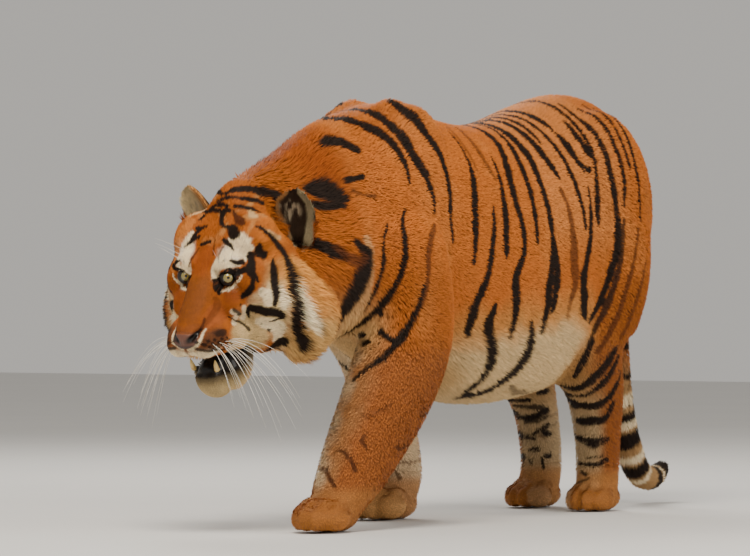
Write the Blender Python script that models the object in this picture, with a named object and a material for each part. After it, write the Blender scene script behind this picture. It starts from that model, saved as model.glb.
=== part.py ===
"""A life-size tiger in a slow walk, as solids in metres: +Z up, the nose towards -Y, the animal's left at +X.

Each region is a form: overlapping masses (lofted tubes and ellipsoids) that a voxel Remesh joins into one closed
surface, smoothed, and thinned by Decimate. The forms are then parted into named nodes by planes and boxes.
Heights and stations are measured from the withers, and the whole is moved at the end so that the origin lies at
the bottom centre of its bounding box.
"""

import math

import bmesh
import bpy
import numpy as np
from mathutils import Euler, Matrix, Vector

# Driving sizes, in metres. Stations run backwards along +Y from the withers.
CUT_GAP = 0.0005
BODY_VOXEL, HEAD_VOXEL, PAW_VOXEL = 0.010, 0.005, 0.005
BODY_TRIANGLES, HEAD_TRIANGLES, PAW_TRIANGLES = 2700, 1850, 260
ORIGIN_SHIFT = Vector((-0.0022, -0.3331, 0.0))

# The head's place: the point midway between the eyes, how far the head is pitched down, tipped and turned.
HEAD_PLACE = Vector((-0.030, -0.667, 0.581))
HEAD_PITCH, HEAD_ROLL, HEAD_YAW = math.radians(31), math.radians(2), math.radians(0)
JAW_OPEN = math.radians(14)
JAW_HINGE = Vector((0.0, 0.115, -0.085))
EYE_RADIUS, EYE_SIDE = 0.0175, 0.057

# Trunk sections: station, back height, belly height, half width.
TRUNK = [
    (-0.26, 0.845, 0.560, 0.110),
    (-0.20, 0.920, 0.500, 0.175),
    (-0.10, 0.975, 0.430, 0.205),
    (0.02, 0.990, 0.376, 0.216),
    (0.18, 0.965, 0.298, 0.236),
    (0.36, 0.948, 0.272, 0.248),
    (0.52, 0.966, 0.276, 0.248),
    (0.68, 1.008, 0.300, 0.236),
    (0.82, 1.036, 0.345, 0.215),
    (0.95, 1.028, 0.430, 0.185),
    (1.06, 0.985, 0.560, 0.140),
    (1.13, 0.925, 0.680, 0.080),
]

# Neck: centre x, y, z, half width, half height. A narrow crest above, and the thick throat below it.
NECK_CREST = [
    (0.000, 0.050, 0.745, 0.135, 0.225),
    (0.000, -0.100, 0.745, 0.135, 0.228),
    (-0.004, -0.240, 0.712, 0.125, 0.216),
    (-0.012, -0.360, 0.684, 0.108, 0.192),
    (-0.020, -0.460, 0.666, 0.090, 0.176),
    (-0.026, -0.550, 0.648, 0.076, 0.150),
]
THROAT = [
    (0.000, 0.050, 0.660, 0.185, 0.255),
    (0.000, -0.100, 0.650, 0.190, 0.225),
    (-0.006, -0.240, 0.616, 0.184, 0.186),
    (-0.014, -0.360, 0.572, 0.174, 0.168),
    (-0.022, -0.460, 0.556, 0.152, 0.142),
    (-0.028, -0.530, 0.540, 0.120, 0.108),
]

TAIL = [
    (0.000, 0.980, 0.935, 0.060, 0.060),
    (0.000, 1.075, 0.885, 0.056, 0.056),
    (0.000, 1.130, 0.770, 0.047, 0.047),
    (0.002, 1.135, 0.600, 0.043, 0.043),
    (0.006, 1.136, 0.420, 0.041, 0.041),
    (0.010, 1.152, 0.270, 0.040, 0.040),
    (0.010, 1.195, 0.160, 0.039, 0.039),
    (0.006, 1.265, 0.080, 0.037, 0.037),
    (0.000, 1.345, 0.064, 0.033, 0.033),
    (-0.006, 1.405, 0.084, 0.026, 0.026),
]

# Legs: for each joint from the top down, its side offset, station and height, and the limb's half width and half
# depth there. The left foreleg reaches forwards and the right one trails.
FORELEG = {
    "left": [
        (0.150, -0.130, 0.640, 0.100, 0.130),
        (0.158, -0.110, 0.520, 0.100, 0.132),
        (0.155, -0.120, 0.420, 0.100, 0.130),
        (0.146, -0.180, 0.310, 0.096, 0.122),
        (0.132, -0.255, 0.200, 0.086, 0.104),
        (0.122, -0.305, 0.130, 0.079, 0.086),
        (0.115, -0.345, 0.070, 0.068, 0.060),
    ],
    "right": [
        (-0.145, -0.030, 0.660, 0.100, 0.130),
        (-0.142, 0.095, 0.540, 0.092, 0.120),
        (-0.128, 0.180, 0.420, 0.080, 0.102),
        (-0.113, 0.212, 0.300, 0.073, 0.087),
        (-0.101, 0.232, 0.190, 0.068, 0.072),
        (-0.094, 0.246, 0.120, 0.066, 0.064),
        (-0.092, 0.236, 0.070, 0.062, 0.054),
    ],
}
HIND_LEG = {
    "left": [
        (0.120, 0.870, 0.740, 0.105, 0.180),
        (0.140, 0.820, 0.600, 0.108, 0.185),
        (0.148, 0.760, 0.470, 0.092, 0.165),
        (0.142, 0.765, 0.385, 0.078, 0.120),
        (0.132, 0.812, 0.310, 0.072, 0.088),
        (0.124, 0.838, 0.245, 0.066, 0.070),
        (0.120, 0.850, 0.170, 0.059, 0.060),
        (0.116, 0.856, 0.105, 0.056, 0.055),
        (0.114, 0.860, 0.062, 0.054, 0.050),
    ],
    "right": [
        (-0.120, 0.900, 0.740, 0.105, 0.180),
        (-0.138, 0.870, 0.600, 0.108, 0.175),
        (-0.144, 0.850, 0.470, 0.090, 0.150),
        (-0.138, 0.875, 0.385, 0.076, 0.110),
        (-0.128, 0.935, 0.310, 0.064, 0.078),
        (-0.122, 0.960, 0.245, 0.058, 0.062),
        (-0.118, 0.975, 0.170, 0.055, 0.058),
        (-0.115, 0.976, 0.105, 0.054, 0.055),
        (-0.113, 0.962, 0.062, 0.054, 0.050),
    ],
}
# Paws: centre of the palm, and the direction in which the toes point, in degrees towards +X from -Y.
PAWS = {
    "forepaw_left": (0.113, -0.385, 4.0, 1.06),
    "forepaw_right": (-0.092, 0.195, -4.0, 1.06),
    "hind_paw_left": (0.113, 0.848, 3.0, 0.94),
    "hind_paw_right": (-0.113, 0.940, -3.0, 0.94),
}
WRIST_HEIGHT, HOCK_CUT = 0.105, 0.095


def clear_scene():
    for old in list(bpy.data.objects):
        bpy.data.objects.remove(old)


def smooth_rows(rows, per_span=5):
    """The rows with more between them, on a Catmull-Rom curve through all their values."""
    rows = np.array(rows, float)
    ends = np.vstack([2 * rows[0] - rows[1], rows, 2 * rows[-1] - rows[-2]])
    made = []
    for a, b, c, d in zip(ends, ends[1:], ends[2:], ends[3:]):
        for step in range(per_span):
            t = step / per_span
            made.append(
                0.5 * (2 * b + (c - a) * t + (2 * a - 5 * b + 4 * c - d) * t**2 + (3 * b - a - 3 * c + d) * t**3)
            )
    return np.vstack([made, rows[-1]])


class Form:
    """Masses gathered in one bmesh, then joined into a single skin."""

    def __init__(self, name):
        self.name = name
        self.mesh = bmesh.new()

    def rings(self, rings):
        """A closed shell over rings of equal length, each end closed on its own centre."""
        rows = [[self.mesh.verts.new(p) for p in ring] for ring in rings]
        for low, high in zip(rows, rows[1:]):
            for i in range(len(low)):
                j = (i + 1) % len(low)
                self.mesh.faces.new((low[i], low[j], high[j], high[i]))
        for row, turned in ((rows[0], True), (rows[-1], False)):
            centre = self.mesh.verts.new(sum((v.co for v in row), Vector()) / len(row))
            for i in range(len(row)):
                pair = (row[i], row[(i + 1) % len(row)])
                self.mesh.faces.new((*(reversed(pair) if turned else pair), centre))

    def tube(self, rows, side=(1, 0, 0), around=24, place=None):
        """A tube with round ends along rows of x, y, z, half width and half depth."""
        rows = smooth_rows(rows)
        centres, radii = rows[:, :3], rows[:, 3:5]
        tangents = np.gradient(centres, axis=0)
        tangents /= np.linalg.norm(tangents, axis=1)[:, None]
        dome = [(math.sin(a), math.cos(a)) for a in np.radians([80, 55, 28])]
        stations = [(centres[0] - tangents[0] * radii[0].min() * s, radii[0] * c, tangents[0]) for s, c in dome]
        stations += list(zip(centres, radii, tangents))
        stations += [
            (centres[-1] + tangents[-1] * radii[-1].min() * s, radii[-1] * c, tangents[-1]) for s, c in dome[::-1]
        ]
        made = []
        for centre, (wide, deep), along in stations:
            across = np.array(side, float) - along * np.dot(side, along)
            across /= np.linalg.norm(across)
            other = np.cross(along, across)
            ring = [
                Vector(centre + across * wide * math.cos(a) + other * deep * math.sin(a))
                for a in np.linspace(0, math.tau, around, endpoint=False)
            ]
            made.append([place @ p for p in ring] if place else ring)
        self.rings(made)

    def barrel(self, sections, widest=0.42, around=40):
        """The trunk: an egg-shaped section at each station, from its back to its belly height."""
        rows = smooth_rows(sections)
        made = []
        for share in (0.35, 0.75):
            first = rows[0].copy()
            middle = (first[1] + first[2]) / 2
            first[1:4] = (middle + (first[1] - middle) * share, middle + (first[2] - middle) * share, first[3] * share)
            first[0] -= (1 - share) * 0.03
            made.append(first)
        rows = np.vstack([made, rows])
        rings = []
        for y, back, belly, half in rows:
            middle = belly + (back - belly) * widest
            ring = []
            for a in np.linspace(0, math.tau, around, endpoint=False):
                up = math.sin(a)
                height = (back - middle) if up > 0 else (middle - belly)
                bulge = abs(math.cos(a)) ** (1.0 if up > 0 else 0.85)
                ring.append(Vector((math.copysign(half * bulge, math.cos(a)), y, middle + height * up)))
            rings.append(ring)
        self.rings(rings)

    def ball(self, centre, radii, turn=(0, 0, 0), place=None, both=False):
        """An ellipsoid, turned by degrees about X, Y and Z. With both, its mirror image as well."""
        for sign in (1, -1) if both else (1,):
            angles = (math.radians(turn[0]), math.radians(turn[1]) * sign, math.radians(turn[2]) * sign)
            at = Vector((centre[0] * sign, centre[1], centre[2]))
            matrix = Matrix.Translation(at) @ Euler(angles).to_matrix().to_4x4() @ Matrix.Diagonal((*radii, 1))
            if place:
                matrix = place @ matrix
            bmesh.ops.create_uvsphere(self.mesh, u_segments=20, v_segments=12, radius=1, matrix=matrix)

    def join(self, voxel, smoothing):
        """The masses become one closed surface, still in this form, so that finer masses can be laid on it."""
        made = self.skin(voxel, smoothing)
        self.mesh = bmesh.new()
        self.mesh.from_mesh(made.data)
        remove(made)

    def skin(self, voxel, smoothing, triangles=0):
        """One closed surface round all the masses, thinned to about the number of triangles asked for."""
        bmesh.ops.recalc_face_normals(self.mesh, faces=self.mesh.faces)
        made = new_object(self.name, self.mesh)
        remesh = made.modifiers.new("join", "REMESH")
        remesh.mode = "VOXEL"
        remesh.voxel_size = voxel
        smooth = made.modifiers.new("smooth", "SMOOTH")
        smooth.factor = 0.5
        smooth.iterations = smoothing
        apply_modifiers(made)
        if triangles:
            triangulate(made)
            thin = made.modifiers.new("thin", "DECIMATE")
            thin.ratio = min(1.0, triangles / len(made.data.polygons))
            apply_modifiers(made)
        return made


def new_object(name, mesh):
    data = bpy.data.meshes.new(name)
    mesh.to_mesh(data)
    mesh.free()
    made = bpy.data.objects.new(name, data)
    bpy.context.scene.collection.objects.link(made)
    return made


def apply_modifiers(obj):
    """The object's mesh becomes what its modifiers make of it."""
    bpy.context.view_layer.update()
    graph = bpy.context.evaluated_depsgraph_get()
    made = bpy.data.meshes.new_from_object(obj.evaluated_get(graph))
    obj.modifiers.clear()
    obj.data = made


def triangulate(obj):
    mesh = bmesh.new()
    mesh.from_mesh(obj.data)
    bmesh.ops.triangulate(mesh, faces=mesh.faces)
    mesh.to_mesh(obj.data)
    mesh.free()


def remove(obj):
    bpy.data.objects.remove(obj)


def copy_of(obj, name):
    made = bpy.data.objects.new(name, obj.data.copy())
    bpy.context.scene.collection.objects.link(made)
    return made


def keep_side(obj, point, normal):
    """Cuts obj by a plane and keeps what lies on the normal's side, closed by a flat face."""
    mesh = bmesh.new()
    mesh.from_mesh(obj.data)
    normal = Vector(normal).normalized()
    everything = mesh.verts[:] + mesh.edges[:] + mesh.faces[:]
    cut = bmesh.ops.bisect_plane(
        mesh, geom=everything, plane_co=Vector(point) + normal * CUT_GAP / 2, plane_no=normal, clear_inner=True
    )
    edges = [e for e in cut["geom_cut"] if isinstance(e, bmesh.types.BMEdge)]
    bmesh.ops.holes_fill(mesh, edges=edges)
    bmesh.ops.triangulate(mesh, faces=mesh.faces)
    mesh.to_mesh(obj.data)
    mesh.free()


def prism(outline, inner, outer, grow=0.0):
    """A cutter: an outline of station and height, drawn across from one side offset to another, its walls moved out."""
    mesh = bmesh.new()
    middle = sum((Vector(p) for p in outline), Vector((0, 0))) / len(outline)
    grown = [Vector(p) + (Vector(p) - middle).normalized() * grow for p in outline]
    low, high = sorted((inner, outer))
    ends = [[mesh.verts.new((x, y, z)) for y, z in grown] for x in (low - grow, high + grow)]
    mesh.faces.new(ends[0])
    mesh.faces.new(list(reversed(ends[1])))
    for i in range(len(outline)):
        j = (i + 1) % len(outline)
        mesh.faces.new((ends[0][j], ends[0][i], ends[1][i], ends[1][j]))
    bmesh.ops.recalc_face_normals(mesh, faces=mesh.faces)
    made = new_object("cutter", mesh)
    made.hide_render = True
    made.display_type = "WIRE"
    return made


def boolean(obj, cutter, operation):
    cut = obj.modifiers.new("cut", "BOOLEAN")
    cut.operation = operation
    cut.object = cutter
    cut.solver = "EXACT"
    apply_modifiers(obj)


def part_off(body, name, outline, inner, outer):
    """Takes what lies in the prism off the body as a node of its own, a thin cut away from the rest."""
    piece = copy_of(body, name)
    for obj, operation, grow in ((piece, "INTERSECT", 0.0), (body, "DIFFERENCE", CUT_GAP)):
        cutter = prism(outline, inner, outer, grow)
        boolean(obj, cutter, operation)
        remove(cutter)
        keep_largest(obj)
    return piece


def swell(obj, amount):
    """Moves every point outwards, for a cutter that leaves a gap."""
    mesh = bmesh.new()
    mesh.from_mesh(obj.data)
    mesh.normal_update()
    for v in mesh.verts:
        v.co += v.normal * amount
    mesh.to_mesh(obj.data)
    mesh.free()


def material(name, colour, roughness=0.8):
    made = bpy.data.materials.new(name)
    made.use_nodes = True
    shader = made.node_tree.nodes["Principled BSDF"]
    shader.inputs["Base Color"].default_value = (*colour, 1)
    shader.inputs["Roughness"].default_value = roughness
    shader.inputs["Metallic"].default_value = 0.0
    return made


def head_matrix():
    turn = Euler((HEAD_PITCH, HEAD_ROLL, HEAD_YAW)).to_matrix().to_4x4()
    return Matrix.Translation(HEAD_PLACE) @ turn


def jaw_matrix():
    """The lower jaw's place: the head's own, swung open about the jaw's hinge."""
    swing = Matrix.Rotation(JAW_OPEN, 4, "X")
    return head_matrix() @ Matrix.Translation(JAW_HINGE) @ swing @ Matrix.Translation(-JAW_HINGE)


def head_form():
    """The skull, muzzle, cheeks and ruff, in the head's frame: origin between the eyes, nose to -Y.

    The large masses are joined and smoothed first; the brow, nose, lips and the rest are laid on them.
    """
    form = Form("head_form")
    at = head_matrix()
    form.ball((0, 0.120, 0.008), (0.096, 0.120, 0.084), (10, 0, 0), place=at)
    form.ball((0.074, 0.108, 0.036), (0.056, 0.074, 0.056), (10, 24, 0), place=at, both=True)
    form.ball((0.078, 0.060, -0.026), (0.050, 0.078, 0.062), (14, 0, 18), place=at, both=True)
    form.ball((0.086, 0.066, -0.090), (0.064, 0.080, 0.082), (10, 0, 14), place=at, both=True)
    form.ball((0.074, 0.052, -0.148), (0.062, 0.082, 0.066), (10, 0, 0), place=at, both=True)
    form.tube(
        [
            (0, 0.080, -0.076, 0.100, 0.088),
            (0, 0.020, -0.086, 0.086, 0.080),
            (0, -0.040, -0.092, 0.068, 0.062),
            (0, -0.090, -0.096, 0.054, 0.046),
            (0, -0.118, -0.098, 0.042, 0.036),
        ],
        place=at,
    )
    for sign in (1, -1):
        form.tube(
            [
                (0.096 * sign, 0.142, -0.006, 0.056, 0.040),
                (0.118 * sign, 0.122, -0.052, 0.070, 0.048),
                (0.138 * sign, 0.114, -0.105, 0.078, 0.058),
                (0.157 * sign, 0.117, -0.162, 0.080, 0.066),
                (0.128 * sign, 0.108, -0.214, 0.074, 0.062),
            ],
            side=(0, 1, 0),
            place=at,
        )
    form.tube(NECK_CREST[3:])
    form.tube(THROAT[3:])
    form.join(HEAD_VOXEL, 45)
    form.tube(
        [
            (0, 0.070, 0.024, 0.058, 0.046),
            (0, 0.035, 0.008, 0.050, 0.040),
            (0, 0.000, -0.012, 0.044, 0.037),
            (0, -0.045, -0.038, 0.041, 0.036),
            (0, -0.090, -0.063, 0.039, 0.034),
            (0, -0.122, -0.082, 0.032, 0.029),
        ],
        place=at,
    )
    form.ball((0.048, 0.026, 0.024), (0.040, 0.040, 0.022), (18, 8, -16), place=at, both=True)
    form.ball((0.054, 0.004, -0.050), (0.042, 0.062, 0.034), (26, 0, 16), place=at, both=True)
    form.ball((0.031, -0.108, -0.104), (0.035, 0.042, 0.035), (12, 0, 10), place=at, both=True)
    form.ball((0.042, -0.074, -0.106), (0.038, 0.054, 0.042), (14, 0, 14), place=at, both=True)
    form.ball((0.050, -0.026, -0.124), (0.038, 0.062, 0.044), (24, 0, 14), place=at, both=True)
    return form


def jaw_form():
    """The lower jaw and chin, in the head's frame before the jaw is opened."""
    form = Form("lower_jaw")
    at = jaw_matrix()
    form.ball((0.000, -0.106, -0.166), (0.042, 0.042, 0.054), (10, 0, 0), place=at)
    form.ball((0.030, -0.060, -0.173), (0.036, 0.056, 0.049), (10, 0, 0), place=at, both=True)
    form.tube(
        [
            (0.000, -0.080, -0.158, 0.046, 0.040),
            (0.000, -0.020, -0.160, 0.058, 0.042),
            (0.000, 0.040, -0.150, 0.070, 0.044),
            (0.000, 0.090, -0.140, 0.074, 0.046),
        ],
        place=at,
    )
    return form


# Each ear: where it stands on the skull, its turn in degrees, and its half width, height and the cup's depth.
EAR_PLACE = {"left": Vector((0.110, 0.218, 0.000)), "right": Vector((-0.137, 0.210, 0.004))}
EAR_TURN = (-6, 16, 14)
EAR_WIDE, EAR_TALL, EAR_CUP = 0.049, 0.096, 0.028


def ear_solid(side):
    """A rounded cup, open to the front and side, that stands on the skull."""
    sign = 1 if side == "left" else -1
    form = Form(f"ear_{side}")
    turn = Euler((math.radians(EAR_TURN[0]), math.radians(EAR_TURN[1] * sign), math.radians(EAR_TURN[2] * sign)))
    place = head_matrix() @ Matrix.Translation(EAR_PLACE[side])
    place = place @ turn.to_matrix().to_4x4()
    rings = []
    for t in np.linspace(0, 1, 14):
        wide = EAR_WIDE * (0.80 + 0.20 * math.sin(math.pi * min(1.0, t * 1.1))) * (1 - t**4.6) ** 0.46 + 0.003
        cup = EAR_CUP * math.sin(math.pi * (0.25 + 0.62 * t))
        ring = []
        for a in np.linspace(0, math.tau, 24, endpoint=False):
            across = math.cos(a)
            bowl = cup * (1 - across**2)
            shell = 0.0055 + 0.008 * (1 - t)
            ring.append(place @ Vector((wide * across, bowl + shell * math.sin(a), -0.040 + (EAR_TALL + 0.040) * t)))
        rings.append(ring)
    form.rings(rings)
    return form.skin(0.003, 3, 210)


def paw_form(name):
    """A broad foot: palm, four toes side by side, and the end of the leg above it."""
    x, y, heading, size = PAWS[name]
    leg = FORELEG if name.startswith("forepaw") else HIND_LEG
    side = name.rsplit("_", 1)[1]
    form = Form(name)
    place = Matrix.Translation((x, y, 0)) @ Matrix.Rotation(math.radians(heading), 4, "Z")
    place = place @ Matrix.Diagonal((size, size, size, 1))
    form.ball((0, 0.020, 0.036), (0.058, 0.070, 0.040), place=place)
    for across, ahead in ((-0.045, -0.040), (-0.016, -0.064), (0.016, -0.064), (0.045, -0.040)):
        form.ball((across, ahead, 0.032), (0.0195, 0.042, 0.031), (8, 0, -across * 300), place=place)
        form.ball((across * 0.9, ahead + 0.034, 0.052), (0.018, 0.036, 0.024), (-16, 0, 0), place=place)
    form.tube(leg[side][-4:])
    return form


def clear_of(obj, other):
    """Takes the other, grown by the cut's width, out of obj."""
    cutter = copy_of(other, "cutter")
    swell(cutter, CUT_GAP)
    boolean(obj, cutter, "DIFFERENCE")
    remove(cutter)
    keep_largest(obj)


def build_head(neck):
    head = head_form().skin(HEAD_VOXEL, 10, HEAD_TRIANGLES)
    head.name = "head"
    keep_side(head, NECK_PLANE[0], -NECK_PLANE[1])
    jaw = jaw_form().skin(HEAD_VOXEL, 6, 400)
    clear_of(jaw, head)
    keep_side(jaw, NECK_PLANE[0], -NECK_PLANE[1])
    nodes = [head, jaw]
    for side, sign in (("left", 1), ("right", -1)):
        ear = ear_solid(side)
        clear_of(ear, head)
        clear_of(ear, neck)
        centre = head_matrix() @ Vector((EYE_SIDE * sign, 0, 0))
        eye = ball_object(f"eye_{side}", centre, EYE_RADIUS)
        eye.data.materials.append(material("eye", (0.55, 0.50, 0.18), 0.1))
        clear_of(head, eye)
        nodes += [ear, eye]
    return nodes


def ball_object(name, centre, radius):
    mesh = bmesh.new()
    bmesh.ops.create_uvsphere(mesh, u_segments=14, v_segments=8, radius=radius, matrix=Matrix.Translation(centre))
    return new_object(name, mesh)


def keep_largest(obj):
    """Drops the loose scraps that a cut leaves."""
    mesh = bmesh.new()
    mesh.from_mesh(obj.data)
    left, groups = set(mesh.verts), []
    while left:
        group, edge = set(), [left.pop()]
        while edge:
            v = edge.pop()
            group.add(v)
            for e in v.link_edges:
                other = e.other_vert(v)
                if other in left:
                    left.remove(other)
                    edge.append(other)
        groups.append(group)
    groups.sort(key=len)
    bmesh.ops.delete(mesh, geom=[v for g in groups[:-1] for v in g], context="VERTS")
    mesh.to_mesh(obj.data)
    mesh.free()


def body_form():
    form = Form("trunk")
    form.barrel(TRUNK)
    form.tube(NECK_CREST)
    form.tube(THROAT)
    form.tube(TAIL)
    for side, sign, lead in (("left", 1, -0.03), ("right", -1, -0.02)):
        form.ball((0.118 * sign, lead, 0.760), (0.080, 0.135, 0.235), (-14, -6 * sign, 0))
        form.ball((0.055 * sign, lead + 0.01, 0.925), (0.048, 0.095, 0.078), (0, 0, 0))
        form.ball((0.128 * sign, lead - 0.090 - 0.040 * sign, 0.590), (0.092, 0.125, 0.150), (0, 0, 0))
        form.tube(FORELEG[side])
        form.ball((0.105 * sign, 0.870, 0.760), (0.120, 0.200, 0.240), (12, 0, 0))
        form.tube(HIND_LEG[side])
    return form


NECK_PLANE = (Vector((-0.026, -0.500, 0.640)), Vector((-0.06, 0.955, 0.29)).normalized())

# Where the nodes are parted: outlines of station and height, seen from the side. A limb's outline is closed by its
# two lower corners, at the height of the elbow or the knee.
NECK_CUT = [(-0.90, 0.38), (-0.30, 0.38), (-0.28, 0.70), (-0.30, 1.10), (-0.90, 1.10)]
SHOULDER_CUT = [(-0.26, 0.62), (-0.18, 0.90), (-0.04, 0.95), (0.10, 0.92), (0.16, 0.74), (0.17, 0.54)]
THIGH_CUT = [(0.60, 0.56), (0.66, 0.78), (0.74, 0.90), (0.90, 0.95), (1.08, 0.88), (1.12, 0.70), (1.06, 0.52)]
TAIL_CUTS = {"tail_tip": (0.0, 0.26, 1.06), "tail_middle": (0.26, 0.52, 1.06), "tail_base": (0.52, 0.97, 1.115)}
ELBOW = {"left": 0.36, "right": 0.30}
KNEE = {"left": 0.335, "right": 0.335}


def build_body():
    body = body_form().skin(BODY_VOXEL, 10, BODY_TRIANGLES)
    keep_side(body, *NECK_PLANE)
    nodes = [part_off(body, "neck", NECK_CUT, -0.5, 0.5)]
    for name, (low, high, front) in TAIL_CUTS.items():
        nodes.append(part_off(body, name, [(front, low), (1.6, low), (1.6, high), (front, high)], -0.07, 0.07))
    for side, sign in (("left", 1), ("right", -1)):
        for lower, upper, rows, ankle, joint, outline in (
            ("foreleg", "shoulder", FORELEG[side], WRIST_HEIGHT, ELBOW[side], SHOULDER_CUT),
            ("hind_leg", "thigh", HIND_LEG[side], HOCK_CUT, KNEE[side], THIGH_CUT),
        ):
            stations = [row[1] for row in rows if row[2] < joint + 0.1]
            front, back = min(stations) - 0.15, max(stations) + 0.15
            foot = [(front, -0.1), (back, -0.1), (back, ankle), (front, ankle)]
            remove(part_off(body, "foot", foot, 0.0, 0.4 * sign))
            limb = [(front, ankle), (back, ankle), (back, joint), (front, joint)]
            nodes.append(part_off(body, f"{lower}_{side}", limb, 0.0, 0.4 * sign))
            middle = min(rows, key=lambda row: abs(row[2] - joint))[1]
            closing = [(middle + 0.15, joint), (middle - 0.17, joint)]
            nodes.append(part_off(body, f"{upper}_{side}", outline + closing, 0.095 * sign, 0.4 * sign))
    return [body, *nodes]


def build_paws():
    nodes = []
    for name in PAWS:
        height = WRIST_HEIGHT if name.startswith("forepaw") else HOCK_CUT
        paw = paw_form(name).skin(PAW_VOXEL, 3, PAW_TRIANGLES)
        keep_side(paw, (0, 0, height), (0, 0, -1))
        keep_side(paw, (0, 0, -CUT_GAP / 2), (0, 0, 1))
        nodes.append(paw)
    return nodes


def main():
    clear_scene()
    coat = material("coat", (0.50, 0.20, 0.05))
    body = build_body()
    nodes = body + build_head(body[1]) + build_paws()
    for node in nodes:
        if not node.data.materials:
            node.data.materials.append(coat)
        node.data.transform(Matrix.Translation(ORIGIN_SHIFT))
        node.data.shade_smooth()


main()
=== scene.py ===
"""A museum's life-size tiger in a slow walk: skin, eyes, teeth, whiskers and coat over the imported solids.

Laid out as an add-on. Shapes are worked out in the design's own frame, with stations measured backwards from
the withers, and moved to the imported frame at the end. The head has a frame of its own: origin between the
eyes, nose towards -Y, the animal's left at +X.
"""

import itertools
import math

import bmesh
import bpy
import numpy as np
from mathutils import Euler, Matrix, Vector
from mathutils.bvhtree import BVHTree
from mathutils.kdtree import KDTree


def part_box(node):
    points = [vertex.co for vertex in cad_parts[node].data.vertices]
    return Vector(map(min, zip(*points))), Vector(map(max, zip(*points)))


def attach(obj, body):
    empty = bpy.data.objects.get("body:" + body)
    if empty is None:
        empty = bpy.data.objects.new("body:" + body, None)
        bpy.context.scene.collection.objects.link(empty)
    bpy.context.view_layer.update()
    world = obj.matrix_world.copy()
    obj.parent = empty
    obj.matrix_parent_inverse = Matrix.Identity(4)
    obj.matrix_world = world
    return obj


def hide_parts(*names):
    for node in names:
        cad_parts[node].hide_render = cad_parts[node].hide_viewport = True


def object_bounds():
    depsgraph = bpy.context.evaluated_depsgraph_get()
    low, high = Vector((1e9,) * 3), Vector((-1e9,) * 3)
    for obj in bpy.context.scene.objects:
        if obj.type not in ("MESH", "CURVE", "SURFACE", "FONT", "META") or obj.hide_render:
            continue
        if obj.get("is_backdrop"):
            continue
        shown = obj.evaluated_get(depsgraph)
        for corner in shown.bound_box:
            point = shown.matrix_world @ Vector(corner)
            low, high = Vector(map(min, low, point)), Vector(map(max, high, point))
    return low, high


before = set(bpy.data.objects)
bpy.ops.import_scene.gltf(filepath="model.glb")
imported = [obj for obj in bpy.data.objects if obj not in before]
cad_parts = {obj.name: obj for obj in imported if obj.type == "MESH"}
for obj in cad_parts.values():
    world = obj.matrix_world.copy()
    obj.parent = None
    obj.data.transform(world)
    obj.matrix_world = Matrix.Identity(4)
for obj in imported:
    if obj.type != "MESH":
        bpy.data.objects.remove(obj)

bl_info = {
    "name": "Walking tiger",
    "version": (1, 0, 0),
    "blender": (4, 5, 0),
    "location": "3D View > Sidebar > Tiger",
    "description": "Builds the skin, eyes, teeth, whiskers and coat of a life-size tiger",
    "category": "Object",
}


def table(text):
    """Rows of numbers typed in millimetres, as metres."""
    return [tuple(float(v) / 1000 for v in row.split()) for row in text.split(",")]


# ---- The animal's forms --------------------------------------------------------------------------

HEAD_PLACE = Vector((-0.030, -0.667, 0.581))
HEAD_PITCH, HEAD_ROLL = math.radians(31), math.radians(2)
JAW_OPEN, JAW_HINGE = math.radians(14), Vector((0.0, 0.115, -0.085))
EYE_RADIUS, EYE_SIDE = 0.0175, 0.057
NECK_PLANE = (Vector((-0.026, -0.500, 0.640)), Vector((-0.06, 0.955, 0.29)).normalized())
SIDES = (("left", 1), ("right", -1))

# Trunk sections: station, back height, belly height, half width.
TRUNK = table(
    "-260 845 560 110, -200 920 500 175, -100 975 430 205, 20 990 376 216, 180 965 298 236, 360 948 272 248, "
    "520 966 276 248, 680 1008 300 236, 820 1036 345 215, 950 1028 430 185, 1060 985 560 140, 1130 925 680 80"
)
# Tubes: centre x, y, z, half width, half depth. The neck has a narrow crest, and the thick throat below it.
NECK_CREST = table(
    "0 50 745 135 225, 0 -100 745 135 228, -4 -240 712 125 216, -12 -360 684 108 192, -20 -460 666 90 176, "
    "-26 -550 648 76 150"
)
THROAT = table(
    "0 50 660 185 255, 0 -100 650 190 225, -6 -240 616 184 186, -14 -360 572 174 168, -22 -460 556 152 142, "
    "-28 -530 540 120 108"
)
TAIL = table(
    "0 980 935 60 60, 0 1075 885 56 56, 0 1130 770 47 47, 2 1135 600 43 43, 6 1136 420 41 41, "
    "10 1152 270 40 40, 10 1195 160 39 39, 6 1265 80 37 37, 0 1345 64 33 33, -6 1405 84 26 26"
)
# Legs from the top joint down. The left foreleg reaches forwards and the right one trails.
FORELEG = {
    "left": table(
        "150 -130 640 100 130, 158 -110 520 100 132, 155 -120 420 100 130, 146 -180 310 96 122, "
        "132 -255 200 86 104, 122 -305 130 79 86, 115 -345 70 68 60"
    ),
    "right": table(
        "-145 -30 660 100 130, -142 95 540 92 120, -128 180 420 80 102, -113 212 300 73 87, "
        "-101 232 190 68 72, -94 246 120 66 64, -92 236 70 62 54"
    ),
}
HIND_LEG = {
    "left": table(
        "120 870 740 105 180, 140 820 600 108 185, 148 760 470 92 165, 142 765 385 78 120, 132 812 310 72 88, "
        "124 838 245 66 70, 120 850 170 59 60, 116 856 105 56 55, 114 860 62 54 50"
    ),
    "right": table(
        "-120 900 740 105 180, -138 870 600 108 175, -144 850 470 90 150, -138 875 385 76 110, "
        "-128 935 310 64 78, -122 960 245 58 62, -118 975 170 55 58, -115 976 105 54 55, -113 962 62 54 50"
    ),
}
LIMBS = [(FORELEG["left"], 1), (FORELEG["right"], -1), (HIND_LEG["left"], 1), (HIND_LEG["right"], -1)]
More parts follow.
